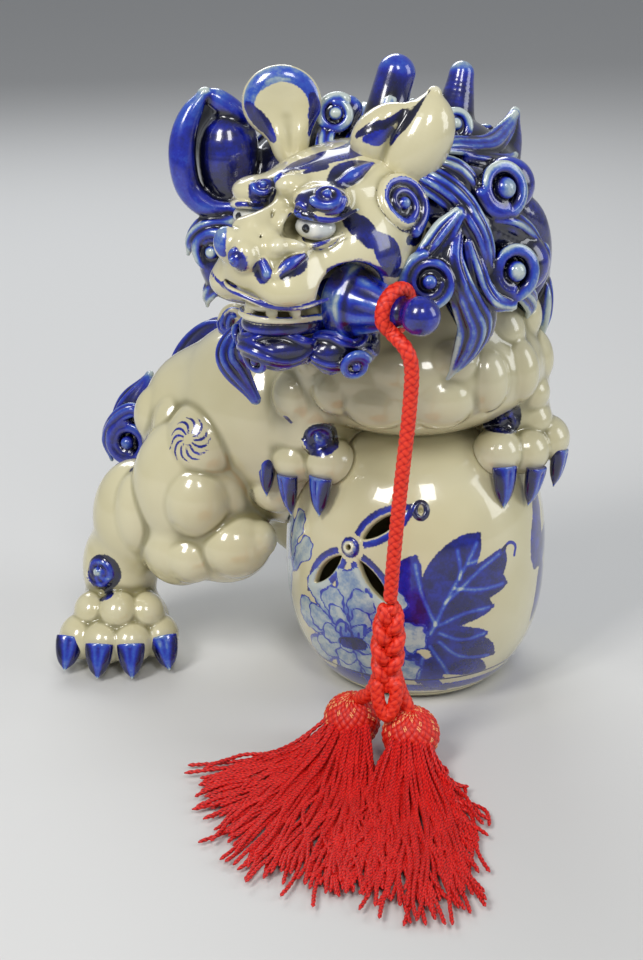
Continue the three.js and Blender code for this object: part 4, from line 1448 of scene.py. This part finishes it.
def add_claws():
    """Flat pointed claws, darker at the rim than in the middle."""
    for group, claws in CLAWS.items():
        for k, (base, tip) in enumerate(claws, 1):
            base, tip = np.array(base, float), np.array(tip, float)
            if "fore" in group:
                centre = BALL_CENTRE
            else:
                centre = base + ([0, 12, 0] if "right" in group else [-14, 0, 0])
            ahead = unit(tip - base)
            out = base - centre
            out = unit(out - (out @ ahead) * ahead)
            side = np.cross(ahead, out)
            base, tip = base + 1.4 * out, tip + 0.6 * out
            start = base - ahead * 5.0
            clay = Clay(np.minimum(start, tip) - 7, np.maximum(start, tip) + 7, FINE_VOXEL)
            path = [start, base, base + 0.5 * (tip - base), tip]
            clay.add(rope(path, [4.8, 5.0, 3.7, 0.5], 0.8, flat=(out, 1.8)))
            clay.cut(rope([p + out * 3.3 for p in path[1:]], [0.9, 0.9, 0.2], 0.8), 0.8)

            def toning(points, attributes):
                along = (points - start) @ ahead / np.linalg.norm(tip - start)
                wide = 4.9 * np.clip(1.12 - along, 0.1, 0.85)
                edge = np.abs((points - start) @ side) / wide
                rim = np.clip(edge * 1.6 - 0.75, 0, 1)
                attributes["tone"] = 0.5 + 0.5 * np.maximum(rim, np.clip(0.35 - along, 0, 0.35) * 2)
                return attributes

            x, y, z = clay.axes(clay.whole())
            top = (base[0] - x) * ahead[0] + (base[1] - y) * ahead[1]
            top = top + (base[2] - z) * ahead[2] - 2.0
            clay.field = np.maximum(np.maximum(clay.field, 0.05 - z), top)
            node = f"{group}_{k}"
            glazed(
                "glazed_" + node, clay, node, blue=True, reach=0.8, toning=toning
            )


# ---- the head ----
SKULL = [
    ([-2, 0, 4], [30, 27, 25], 5), ([13, 0, 15], [19, 19, 11], 5), ([30, 0, -4], [22, 18, 12], 5),
    ([14, 18, -2], [17, 11, 15], 5), ([14, -18, -2], [17, 11, 15], 5),
    ([38, 10, -9], [12, 9, 7], 4), ([38, -10, -9], [12, 9, 7], 4), ([29, 13, 16], [8, 9, 4.5], 3.5),
    ([29, -12, 16], [8, 8, 4.5], 3.5), ([46, -1, 3], [7, 8.5, 6], 3),
    ([50.5, -5.5, 4.2], [3.6, 4.0, 5.0], 1.6), ([51.5, 2.5, 1.6], [3.8, 4.4, 4.6], 1.6),
    ([42.5, 4.5, 7.0], [3.6, 3.2, 2.6], 1.5), ([44, -4.5, 8.6], [3.4, 3.0, 2.4], 1.5)
]


def head_paint(clay):
    paint = Paint()

    def wash(points, widths, tone=0.85):
        paint.wash(head_stroke(clay, points), widths, tone)

    def line(points, width=0.45):
        paint.line(head_stroke(clay, points), width)

    wash([[51.6, -6.5, 9], [52.4, -5.6, 5.5], [52, -4.8, 2.5]], [1.8, 2.7, 1.6], 0.62)
    wash([[54.1, 1.8, 1.2]], 3.8, 0.9)
    wash([[48.8, 7.4, -0.8], [47.8, 8.4, -3.4]], [1.9, 2.1], 0.75)
    wash([[44.8, 11.2, -3.6], [42.2, 12.8, -0.8], [39.0, 14.8, 1.0]], [1.5, 2.5, 1.3], 0.85)
    wash([[33.0, -4.0, 24.5], [33.8, -5.8, 19.6], [33.4, -7, 14.6]], [3.0, 4.0, 3.0], 0.9)
    wash(
        [[34.6, 11.6, 14.6], [34.4, 15, 17.2], [33, 19.4, 19.2], [30.5, 22.5, 18.4]],
        [2.8, 4.2, 5.6, 3.8], 0.95
    )
    wash(
        [[22, 14.5, 20.5], [17.5, 14.6, 21.5], [12, 14.2, 22.4], [7, 14, 22.6]],
        [3.6, 4.2, 2.8, 0.6], 0.8
    )
    wash(
        [
            [28, -3.5, 21.5], [23.5, -0.5, 23.2], [18, 3.0, 24.5], [10, 6, 25.5], [2, 6.5, 27],
            [-8, 4, 28]
        ],
        [1.4, 3.4, 4.2, 4.2, 4.8, 7.0], 0.78
    )
    wash([[26, 4, 22.0], [21, 6, 23.4]], [0.7, 2.6], 0.8)
    wash([[25.5, 21, 12], [23, 23.3, 8.5], [21.5, 24.8, 4.5]], [2.6, 3.8, 3.0], 0.82)
    wash([[19.5, 26.8, 4], [16.5, 28.2, 0.5], [13.5, 29, -3]], [3.0, 4.8, 3.4], 0.8)
    wash([[4.7, 23.5, 12.2]], 8.6, 0.86)
    wash([[6, 27, 2], [1.5, 26.5, 4.5], [-2, 25.5, 10]], [1.4, 2.8, 3.4], 0.85)
    wash(
        [[31, 21.4, -7], [27, 24.6, -5.8], [20.9, 27.8, -5.4], [12, 28.4, -6.6], [5, 27, -8]],
        [1.0, 1.3, 1.3, 1.5, 1.2], 0.98
    )
    line(
        [[28.5, 5.5, 11.0], [33, 9, 12.2], [35, 14.5, 12.0], [32, 20, 11.6], [27.0, 24.3, 14.5]],
        0.8
    )
    line([[41, -13, 13], [37.5, -9, 13.4], [34.5, -5.0, 11.4]], 0.7)
    line([[31.0, 7.0, 5.6], [35.4, 13.5, 4.0], [33.5, 19, 5.2], [29, 22.6, 9.5]], 0.4)
    line(
        [
            [46, -12.9, -7.6], [48.6, -7.2, -9], [50, -2.1, -9.6], [49, 4, -12], [47, 10, -12.6],
            [41, 16, -12.4], [34, 20.4, -10.6]
        ],
        0.5
    )
    return paint


def add_head():
    middle = in_head([20, 0, 2])
    clay = Clay(middle - [52, 52, 40], middle + [52, 52, 34], HEAD_VOXEL)
    for at, half, blend in SKULL:
        clay.add(head_lump(at, half), blend)
    clay.add(rope(head_path([[28, 1, 14], [36, 1, 11], [44, -0.5, 9]]), [4.2, 3.6, 3.4]), 3.0)
    for at, half in (
        ([36, 5.6, 9.2], [4.6, 3.6, 3.6]), ([43.5, 8.6, 4.0], [4.0, 3.6, 3.0]),
        ([38.5, 11.5, 4.2], [3.6, 3.4, 2.6]), ([30, 2, 19.6], [5, 4.5, 3.4])
    ):
        clay.add(head_lump(at, half), 2.0)
    clay.cut(rope(head_path([[40.5, 9, 6.6], [46, 6.5, 3.0], [49, 6.5, -1]]), [0.4, 0.6, 0.4]), 1.3)
    clay.cut(
        rope(head_path([[38.5, 2.6, 13], [41.5, 3.2, 8.6], [47, 4.6, 6.2]]), [0.4, 0.6, 0.4]), 1.3
    )
    clay.cut(
        rope(
            head_path(
                [[49, -6, -8], [51, 0, -10.4], [47, 12, -13.5], [40, 19, -13], [30, 24, -10]]
            ),
            [1.3] * 5
        ),
        1.2
    )
    clay.cut(
        rope(
            head_path([[17, 11, -17], [26, 22.5, -13.5], [37, 36, -9.5]]), [10.6, 11.4, 12.0], 3.0,
            reach=7
        ),
        1.2
    )
    for sign in (1, -1):
        at = in_head([31, sign * 12.5, 8.5])
        clay.cut(lump(at + FORWARD * 2.5, [7.2, 8.4, 4.6], axes=HEAD_AXES), 1.6)
        lid = [
            [28, sign * 5.2, 10.8], [35.2, sign * 9, 12.6], [36.4, sign * 14, 12.6],
            [31.5, sign * 20, 11.6], [25, sign * 23.8, 14]
        ]
        clay.add(rope(head_path(lid), [0.6, 1.2, 1.3, 1.1, 0.5], reach=3), 0.7)
        low = [
            [29.5, sign * 6.2, 5.6], [35.0, sign * 10.5, 3.9], [35.0, sign * 16, 4.0],
            [29, sign * 21.8, 7.0]
        ]
        clay.add(rope(head_path(low), [0.4, 0.8, 0.8, 0.4], reach=3), 0.7)
    add_curl(clay, in_head([33.4, 18.9, 19.2]), 4.6, 1.5, 1.3, 200, 1.6)
    add_curl(clay, in_head([34.9, 11.8, 15.2]), 2.4, 1.0, 0.9, 40, 0.9)
    clay.add(
        rope(
            head_stroke(clay, [[29, 23, 17.5], [31.5, 21.5, 14.4], [34.6, 16.6, 13.8]]),
            [1.2, 1.4, 0.8], reach=3
        ),
        0.5
    )
    clay.add(
        rope(
            head_stroke(clay, [[22.5, 15, 21], [17, 15, 21.6], [11, 14.4, 22.6], [7, 14, 22.6]]),
            [1.0, 2.0, 1.2, 0.4], reach=3
        ),
        1.2
    )
    add_curl(clay, in_head([33.6, -5.8, 19.6]), 3.0, 1.1, 1.2, 180, 1.3)
    add_curl(clay, in_head([33.2, -4.0, 24.6]), 2.0, 1.0, 0.8, 0, 0.0)
    add_curl(clay, in_head([33.0, -7, 14.4]), 1.8, 0.9, 0.8, 180, 0.0)
    spot, out, _, _ = clay.frame(in_head([4.7, 23.5, 12.2]))
    spiral = clay.snap(spiral_points(spot, out, -70, 9.6, 2.6, 1.75))
    clay.add(rope(spiral, np.linspace(2.3, 1.2, len(spiral)), reach=2.5), 0.5)
    clay.add(lump(spot + 0.8 * out, [2.0, 2.0, 2.0]), 0.4)
    add_curl(clay, in_head([54.1, 1.8, 1.2]), 2.8, 0.8, 1.1, 90, 1.0)
    leaf_path = head_stroke(clay, [[45.6, 10.4, -4.2], [43.2, 12.4, -1.2], [39.2, 14.6, 1.4]])
    clay.add(rope(leaf_path, [1.2, 1.9, 1.0], reach=3), 0.8)
    clay.add(rope(head_stroke(clay, [[48.6, 7.2, 0], [47.6, 8.6, -3.6]]), [1.5, 1.6], reach=3), 0.8)
    lip = [
        [46, -12.5, -7.4], [50, -6, -9], [51, 0, -10.2], [48.2, 9, -12.8], [42, 16.4, -13.2],
        [35, 20.6, -11.5]
    ]
    clay.add(rope(head_path(lip), [0.6, 0.9, 1.0, 1.0, 0.9, 0.6], reach=3), 0.8)
    glazed("glazed_head", clay, "head", head_paint(clay), reach=1.4)


def add_eyes():
    for side, sign in (("right", -1), ("left", 1)):
        centre = in_head([31, sign * 12.5, 8.3])
        clay = Clay(centre - 11, centre + 11, FINE_VOXEL)
        clay.add(lump(centre, [5.3, 6.6, 3.9], axes=HEAD_AXES))
        points, quads = clay.mesh()
        pupil = clay.snap(in_head([37, sign * 12.5 + (0.6 if sign > 0 else -1.4), 8.8]))[0]
        attributes = {
            "iris": np.linalg.norm(points - pupil, axis=1),
            "lid": 12.2 - ((points - HEAD_AT) @ UP),
        }
        name = side + "_glazed_eye"
        new_piece(
            name, points, quads, EYE, [side + "_eye"], clay.normals(points), attributes
        )


def add_jaw():
    middle = in_head([30, 0, -20])
    clay = Clay(middle - [34, 34, 22], middle + [34, 34, 16], HEAD_VOXEL)
    clay.add(head_lump([26, 0, -22], [20, 13, 5.6]))
    clay.add(
        rope(
            head_path(
                [
                    [28, -12, -19.5], [41, -8.4, -18.6], [45.4, 0, -18.6], [41, 9, -18.8],
                    [29, 12.5, -19.5]
                ]
            ),
            [1.1] * 5
        ),
        1.5
    )
    for at in ([42.4, 5.0, -16.6], [37.5, 9.8, -16.6], [43.5, -2.4, -16.4]):
        clay.add(head_lump(at, [1.6, 2.2, 2.2]), 0.4)
    paint = Paint()
    paint.wash(
        clay.snap(head_path([[26, 14, -22], [40, 11, -22.6], [46, 1, -22.6], [44, -7, -22]])), 2.2,
        0.95
    )
    glazed("glazed_jaw", clay, "lower_jaw", paint)
    middle = in_head([30, 0, -15])
    clay = Clay(middle - [24, 24, 9], middle + [24, 24, 9], HEAD_VOXEL)
    clay.add(head_lump([31, 0, -15.5], [14.5, 9.5, 2.9]))
    clay.cut(rope(head_path([[20, 0, -11.8], [36, 0, -12], [44, 0, -14]]), [0.7, 0.7, 0.4]), 1.4)
    glazed("glazed_tongue", clay, "tongue")


BEARDS = {
    "middle": ([30, 0, -28.5], [16.5, 13, 6.5]),
    "left": ([19, 13.5, -30], [14, 9.5, 7]),
    "right": ([19, -13.5, -30], [14, 9.5, 7]),
}


def add_beard():
    """The beard hangs under the jaw in broad wavy locks that sweep back from the chin."""
    for name, (at, half) in BEARDS.items():
        centre = in_head(at)
        clay = Clay(centre - 24, centre + 24, HEAD_VOXEL)
        clay.add(head_lump(at, half))
        sign = {"middle": 0, "left": 1, "right": -1}[name]
        for row, (height, wide) in enumerate(((3.4, 2.5), (-1.4, 3.0), (-5.4, 2.2))):
            path = []
            for turn in np.radians(np.linspace(-95, 95, 11) + 58 * sign):
                out = math.cos(turn) * FORWARD + math.sin(turn) * LEFT
                reach = 1 / math.hypot(math.cos(turn) / half[0], math.sin(turn) / half[1])
                level = height + 1.7 * math.sin(turn * 3.4 + row * 2.1 + sign)
                inside = math.sqrt(max(1 - (level / (half[2] + 1.5)) ** 2, 0.1))
                path.append(centre + out * reach * inside + UP * level)
            widths = wide * np.sin(np.linspace(0.15, 0.93, 11) * math.pi) ** 0.6
            ribbon(clay, path, widths, 3, centre=centre, crown=0.3)
        out = math.cos(1.0 * sign) * FORWARD + math.sin(1.0 * sign) * LEFT
        coil(
            clay, centre + out * half[0] * 0.86 - 3.5 * UP, unit(out - 0.3 * UP), 4.2, 1.4, 1.3, 30,
            1.5
        )
        node = name + "_beard_curl"
        glazed("glazed_" + node, clay, node, blue=True, tone=0.98)


def add_bar():
    """The bar through the mouth: a bead, a fluted collar, a waist and a round knob."""
    outline = [
        (0, -14), (3.2, -14), (3.6, 0), (5.2, 4), (6.4, 7), (5.6, 10), (8.4, 11.2), (11.4, 13),
        (12.4, 15.6), (11.9, 18.2), (10.4, 20.2), (9.4, 22.0), (8.4, 25), (6.8, 29), (5.4, 33),
        (4.4, 36.4)
    ]
    ball = [
        (KNOB_RADIUS * math.sin(a), KNOB_AT - KNOB_RADIUS * math.cos(a))
        for a in np.linspace(0.82, math.pi, 22)
    ]
    rows = np.array(outline + ball, float)
    path, _ = smooth_path(np.column_stack([rows, 0 * rows[:, 0]]), None, 0.5)
    radii, along = np.maximum(path[:, 0], 0), path[:, 1]
    around = 96
    turn = ring_angles(around)
    collar = np.exp(-(((along - 17) / 4.2) ** 2))
    flutes = 0.45 * np.cos(turn[None] * 5 + along[:, None] * 0.3) * collar[:, None]
    waist = np.exp(-(((along - 26) / 6.0) ** 2))
    grooves = 0.22 * np.cos(turn[None] * 9 + along[:, None] * 0.1) * waist[:, None]
    r = np.maximum(radii[:, None] + flutes + grooves, 0)
    r[0] = r[-1] = 0.001
    axis = in_head([BAR_FORWARD, 0, BAR_UP]) + along[:, None] * LEFT
    points = tube_points(axis, r, turn, FORWARD[None], UP[None])
    faces = capped_tube_faces(len(along), around)
    # painted shade in the grooves and painted highlights on the raised rings and flutes, carried by
    # relief
    dips = sum(
        np.exp(-(((along - at) / wide) ** 2)) for at,
        wide in ((10.2, 0.9), (20.8, 0.8), (36.6, 1.2))
    )
    proud = sum(np.exp(-(((along - at) / wide) ** 2)) for at, wide in ((13.2, 0.7), (18.9, 0.6)))
    knob = along > KNOB_AT - KNOB_RADIUS
    relief = np.broadcast_to(
        (0.40 * proud - 0.45 * dips)[:, None], r.shape
    ) + flutes * 0.7 + grooves * 1.3
    tone = np.broadcast_to(np.where(knob, 0.62, 0.52)[:, None], r.shape)
    attributes = unpainted(len(points), tone.reshape(-1), -FAR)
    attributes["relief"] = relief.reshape(-1)
    new_piece(
        "glazed_mouth_bar", points, faces, GLAZE, ["mouth_bar"], None, attributes
    )


def add_ears():
    centre = np.array([-46, -31, 207.0])
    clay = Clay([-62, -42, 184], [-30, -22, 222], EAR_VOXEL)
    clay.add(lump(centre, [12.5, 4.5, 11.5]))
    clay.add(lump([-43.5, -32, 196], [6.2, 4.5, 9]), 4.0)
    clay.cut(lump([-45.6, -36.8, 207], [9.6, 3.4, 9.0]), 1.6)
    clay.cut(rope([[-44.5, -37.4, 203], [-43, -38, 192]], [3.4, 2.0]), 2.0)
    paint = Paint()
    rim = [
        [centre[0] + 10.8 * math.cos(a), centre[1] - 4, centre[2] + 10.0 * math.sin(a)]
        for a in np.radians(np.arange(-20, 215, 15))
    ]
    paint.wash(rim, [1.8 + 1.6 * math.sin(k / 15 * math.pi) for k in range(len(rim))], 0.5, depth=9)
    paint.wash(
        [[-56.5, -34, 206], [-52.5, -35, 201], [-49, -35, 196.5]], [1.8, 2.9, 1.6], 0.85, depth=9
    )
    paint.wash(
        [[-36.2, -34, 209], [-34.8, -34, 204], [-36.6, -34, 198]], [1.6, 2.6, 1.2], 0.88, depth=9
    )
    paint.wash(
        [[-52, -37, 211.5], [-49, -37, 214.0], [-43.5, -37, 214.8]], [0.5, 1.5, 0.5], 0.35, depth=9
    )
    glazed("right_spoon_ear", clay, "right_ear", paint, reach=1.6)

    clay = Clay([-32, -62, 178], [14, -32, 222], EAR_VOXEL)
    clay.add(
        rope(
            [[-12, -45, 187], [-6, -46.5, 194], [-1.5, -46.5, 202], [0.5, -45.5, 211.5]],
            [7.5, 9.8, 8.6, 2.4]
        )
    )
    clay.add(
        rope(
            [[-17.5, -46, 191], [-18.5, -47.5, 198], [-14, -48, 204], [-7, -47.5, 207]],
            [5.5, 6.4, 5.0, 2.4]
        ),
        1.6
    )
    slit = [
        [-24, -53, 200.5], [-19, -55, 203.2], [-14, -55.5, 203.6], [-9.4, -55, 206.4],
        [-5.5, -52.5, 211], [-3, -49, 214.5]
    ]
    clay.cut(rope(slit, [0.9, 1.6, 1.8, 1.4, 0.9, 0.4]), 0.8)
    paint = Paint()
    paint.wash(slit, [1.2, 1.9, 2.2, 1.9, 1.2, 0.6], 1.05, depth=8)
    paint.wash(
        [[-20.5, -54, 199.2], [-16.5, -54, 199.4], [-12, -54, 201.4]], [1.2, 2.4, 1.2], 0.72,
        depth=8
    )
    glazed("left_curled_ear", clay, "left_ear", paint, reach=1.6)


# ---- the mane ----
MANE_CAP = [
    ([0, -8, 168], [37, 29, 35]), ([-36, -14, 172], [27, 22, 29]), ([8, 4, 146], [38, 28, 24])
]
MANE_CENTRE = np.array([-8, -4, 165.0])
LOCKS = {
    "far_mane_lobe": (
        [[-60, -20, 172], [-63, -22, 182], [-63.5, -23, 192], [-64, -22, 200]], [7, 9.5, 9.5, 5]
    ),
    "far_mane_curl": (
        [[-58, -26, 170], [-66, -28, 162], [-64, -31, 152], [-56, -32, 146]], [6, 7, 7, 4]
    ),
    "front_crest_tuft": ([[-14, -14, 192], [-12, -10, 204], [-9.5, -8, 213]], [8.5, 6.6, 6.3]),
    "middle_crest_tuft": ([[8, -4, 190], [11, 1, 203], [12.5, 4, 211.5]], [8.5, 5.6, 4.2]),
    "rear_crest_tuft": ([[22, -6, 181], [27, 2, 189], [31, 8, 198.5]], [9, 6.0, 1.8]),
    "crown_curl": ([[-34, -24, 188], [-30, -22, 197], [-25, -18, 203]], [7, 7, 4.5]),
    "upper_mane_lock": (
        [[-6, -46, 186], [8, -41, 183], [18, -30, 178], [24, -22, 176]], [4, 6.5, 8, 7]
    ),
    "middle_mane_lock": (
        [[-2, -50, 177], [12, -45, 172], [24, -35, 164], [30, -28, 156]], [4, 6, 8, 8]
    ),
    "lower_mane_lock": (
        [[4, -50, 160], [14, -48, 150], [16, -47, 139], [12, -47, 128]], [5, 6, 5, 1.2]
    ),
    "outer_mane_lock": (
        [[22, -22, 174], [32, -14, 166], [36, -9, 151], [35, -12, 137]], [7, 8, 7, 2]
    ),
}
SPIRALS = {
    "upper_mane_spiral": ([25, -30, 181], [9, 7, 9]),
    "middle_mane_spiral": ([29, -35, 157], [10, 8, 10]),
    "bar_spiral": ([-1, -56, 157], [10.5, 7.5, 9.5]),
}


def mane_block():
    clay = Clay([-84.0, -66, 112], [49, 42, 222], MANE_VOXEL)
    for at, half in MANE_CAP:
        clay.add(lump(at, np.array(half) - 1.5), 6.0)
    for points, radii in LOCKS.values():
        clay.add(rope(points, radii, 2.0), 2.0)
    for at, half in SPIRALS.values():
        clay.add(lump(at, half), 1.5)
    return clay


def front_hair(clay):
    """The locks that sweep from behind the ears down past the cheek."""
    ribbon(
        clay,
        [
            [-8, -49, 189.5], [-1.5, -52.6, 187.5], [4.7, -53, 183.8], [9.5, -53, 179.3],
            [12.5, -54.5, 175], [15.3, -54, 170], [17, -53.5, 164.5], [18.0, -52, 159]
        ],
        [2.6, 4.4, 4.8, 4.8, 4.6, 4.3, 4.0, 3.2], 4
    )
    coil(clay, [26, -46, 157], [0.45, -0.88, 0.12], 8.2, 2.6, 1.25, 170, 3.4, 0.8, 2)
    ribbon(
        clay,
        [
            [-3, -45.5, 191.5], [3, -48, 191.3], [8.5, -47.8, 189.2], [12.2, -47, 185.5],
            [13.8, -45.8, 180.5]
        ],
        [1.6, 3.0, 3.4, 3.2, 2.8], 3
    )
    coil(clay, [22, -42, 182], [0.5, -0.82, 0.25], 8.2, 2.5, 1.25, 185, 3.6, 0.8, 2)
    ribbon(
        clay,
        [
            [8.5, -56, 177.5], [3.9, -58, 172.4], [-0.5, -60.5, 167], [-4.6, -62, 163.2],
            [-8, -61.5, 160.8]
        ],
        [2.2, 3.8, 3.6, 2.2, 0.5], 3, crown=0.15
    )
    ribbon(
        clay,
        [
            [8, -56, 172], [6.6, -60.5, 164], [8.8, -61.5, 156], [12.3, -59, 147.6],
            [14.8, -56.5, 141], [13.5, -54.5, 134.5], [10.3, -52, 128], [6.5, -49, 122.5]
        ],
        [2.4, 3.6, 4.2, 5.0, 5.8, 5.2, 3.2, 0.6], 4
    )
    ribbon(
        clay,
        [
            [11.5, -55.5, 168], [14.2, -56, 160], [16.5, -55.5, 153.5], [20.5, -54, 148.5],
            [27, -49, 146]
        ],
        [2.0, 3.2, 3.4, 3.0, 1.8], 3
    )
    ribbon(
        clay, [[20, -47, 173], [27, -43, 171.5], [33, -37, 166], [37.5, -34, 158]],
        [2.4, 3.4, 3.6, 3.0], 3
    )
    coil(clay, [32.5, -37, 158], [0.62, -0.78, 0.0], 6.4, 2.3, -1.2, 30, 2.6, 0.4)
    ribbon(
        clay, [[30, -31, 147.5], [34, -26, 144], [36.5, -20, 139], [35, -15, 133]],
        [2.8, 3.4, 3.0, 0.8], 3
    )
    ribbon(
        clay,
        [
            [0, -42, 195], [8, -35, 195], [15.5, -28, 193.5], [22, -19, 193], [28, -4, 195.5],
            [31.5, 5, 199]
        ],
        [2.0, 3.4, 3.8, 3.8, 3.0, 1.2], 4
    )
    ribbon(
        clay, [[12, -33, 190.5], [19, -29, 189], [26, -22, 187.5], [30, -12, 188]],
        [2.0, 2.8, 2.6, 1.0], 3
    )
    coil(clay, [8.5, -24, 199], [0.15, -0.95, 0.3], 5.2, 1.7, 1.2, 200, 2.2, 0.5)
    ribbon(clay, [[-16, -36, 193.5], [-14, -30, 200], [-12, -20, 207]], [2.4, 3.4, 2.2], 3)
    ribbon(clay, [[-26, -38, 190], [-24, -34, 196], [-20, -26, 202]], [2.8, 3.2, 1.8], 3)
    ribbon(clay, [[-34, -38, 189], [-33, -32, 197], [-30, -24, 203]], [2.4, 3.2, 2.2], 3)
    coil(clay, [-29, -29, 203], [-0.1, -0.95, 0.3], 5.4, 1.9, 1.1, 60, 2.2, 0.6)
    coil(clay, [-1, -63, 157.5], [0.12, -0.97, 0.2], 8.4, 1.9, 1.7, 100, 2.4, 0.4)


def far_hair(clay):
    """The lobe and curls beyond the face."""
    roll = [
        [-70, -26, 209.5], [-74.5, -27, 203], [-77, -28, 196], [-77.5, -29, 188],
        [-75.5, -29, 179.5], [-69.5, -30, 174], [-62, -30, 173.5]
    ]
    clay.add(rope(roll, [1.6, 3.4, 4.2, 4.4, 4.2, 3.8, 2.6], 1.2), 0.4)
    clay.add(
        rope(
            [[-71, -25, 209], [-66, -24, 206.5], [-60, -23, 201], [-57, -22, 194]],
            [1.6, 3.6, 4.0, 3.0]
        ),
        1.2
    )
    clay.add(lump([-67, -18, 190], [9.5, 6, 17]), 2.0)
    coil(clay, [-68, -34, 160.5], [-0.3, -0.93, 0.0], 6.4, 2.0, 1.3, 20, 2.4, 0.4)
    ribbon(
        clay, [[-62, -34, 170], [-71, -33, 169], [-76, -30, 164], [-77, -27, 158]],
        [2.0, 3.4, 3.0, 0.8], 3
    )
    ribbon(
        clay, [[-60, -36, 154], [-67, -35, 151], [-71, -32, 146], [-71, -28, 141]],
        [2.0, 3.2, 2.8, 0.7], 3
    )
    for spot, facing, start in (
        ([-66, -8, 192], [-0.9, 0.2, 0.3], 0), ([-66, 2, 172], [-0.9, 0.3, 0], 120),
        ([-58, 4, 200], [-0.6, 0.5, 0.6], 60)
    ):
        at = clay.snap(spot)[0]
        coil(clay, at, facing, 7.2, 2.1, 1.6, start, 2.6)


def back_hair(clay):
    """Rows of coiled curls down the back of the neck, with a fringe of pointed locks below."""
    count = 0
    for row, elevation in enumerate((66, 38, 10, -18, -44)):
        columns = (5, 7, 8, 8, 7)[row]
        for column in range(columns):
            turn = math.radians(12 + (column + (0.5 if row % 2 else 0)) * 156 / (columns - 0.5))
            tilt = math.radians(elevation)
            out = np.array(
                [math.cos(turn) * math.cos(tilt), math.sin(turn) * math.cos(tilt), math.sin(tilt)]
            )
            spot, facing, _, _ = clay.frame(MANE_CENTRE + out * np.array([40, 28, 32]))
            if spot[2] < 124:
                continue
            count += 1
            coil(
                clay, spot - 0.6 * facing, facing, 7.4, 2.2, 1.5 if count % 2 else -1.5,
                90 + 140 * (count % 3), 2.8, 0.4, 2
            )
    for k, azimuth in enumerate(range(-8, 190, 15)):
        turn = math.radians(azimuth)
        out = np.array([math.cos(turn), math.sin(turn), 0])
        start = clay.snap(np.array([4, 2, 140]) + out * [38, 28, 0])[0]
        swing = 3.0 * (1 if k % 2 else -1)
        across = np.array([-out[1], out[0], 0])
        path = [
            start + [0, 0, 6], start + 1.6 * out,
            start + 1.8 * out + swing * 0.5 * across - [0, 0, 8],
            start + 0.6 * out + swing * across - [0, 0, 15]
        ]
        ribbon(clay, path, [2.6, 4.0, 3.4, 0.7], 3)


def mane_groups(points):
    names = ["mane_cap", *LOCKS, *SPIRALS]
    distances = [np.min([lump_distance(points, at, half) for at, half in MANE_CAP], axis=0) + 1.0]
    for path, radii in LOCKS.values():
        distances.append(capsule_distance(points, *smooth_path(path, radii, 3.0)))
    for at, half in SPIRALS.values():
        distances.append(lump_distance(points, at, half) - 1.0)
    return names, np.argmin(distances, axis=0)


def add_mane():
    clay = mane_block()
    back_hair(clay)
    front_hair(clay)
    far_hair(clay)
    points, quads = clay.mesh()
    normals = clay.normals(points)
    spiral = np.linalg.norm(points - np.array([-1, -60, 157.0]), axis=1)
    attributes = unpainted(len(points), np.where(spiral < 11.5, 1.05, 0.86), -FAR)
    # relief strengthened for painted highlights along the ridges of the locks and painted shade in
    # their grooves
    attributes["relief"] = 1.7 * clay.relief(points, 0.9) + 0.4 * clay.relief(points, 2.6) - 0.12
    names, owner = mane_groups(points[quads].mean(1))
    for index, name in enumerate(names):
        split_piece(
            "glazed_" + name, points, quads[owner == index], normals, attributes, name,
            hub=MANE_CENTRE,
        )


# ---- the loose curls and the tail ----
BODY_CURLS = {
    "crescent_curl": ([[-57, -39, 140], [-62.5, -38, 127], [-55, -37, 112]], [2, 5.2, 2]),
    "hook_curl": (
        [[-60, -6, 124], [-65, -6, 128], [-63, -7, 133], [-58, -8, 131]], [2, 3.8, 3.8, 2.8]
    ),
    "tail_plume": (
        [[-96, 38, 62], [-104, 41, 70], [-103, 42, 84], [-97, 40, 98]], [6, 8.5, 7.5, 1.5]
    ),
    "tail_lock": ([[-84, 58, 80], [-82, 68, 92], [-74, 68, 104], [-66, 60, 112]], [7, 10, 8, 1.5]),
}


def add_body_curls():
    for name, (points, radii) in BODY_CURLS.items():
        clay = Clay(np.min(points, 0) - 15, np.max(points, 0) + 15, CURL_VOXEL)
        lock(clay, points, radii, [-50, 10, 95])
        if name == "tail_plume":
            coil(clay, [-105, 32, 74], [-0.35, -0.93, 0.1], 7.6, 2.3, 1.5, 100, 2.6, 0.4, 2)
            ribbon(
                clay,
                [[-97, 30, 84], [-104, 31, 87], [-111, 34, 82], [-115, 38, 73], [-113, 40, 64]],
                [1.6, 2.8, 3.0, 2.6, 0.8], 3, (-95, 50, 75)
            )
        if name == "tail_lock":
            coil(clay, [-80, 73, 96], [-0.2, 0.95, 0.2], 7.6, 2.3, -1.5, 100, 2.6, 0.4, 2)
        blue = name != "hook_curl"
        paint = Paint()
        paint.wash([[-64, -8, 124], [-67, -8, 129], [-64, -9, 133]], [1.6, 2.2, 1.6], 0.8)
        glazed("glazed_" + name, clay, name, paint, blue=blue, tone=0.8)


add_camera()
add_cords()
add_lights()
add_floor()
add_ball()
add_body()
add_claws()
add_head()
add_eyes()
add_jaw()
add_beard()
add_bar()
add_ears()
add_mane()
add_body_curls()
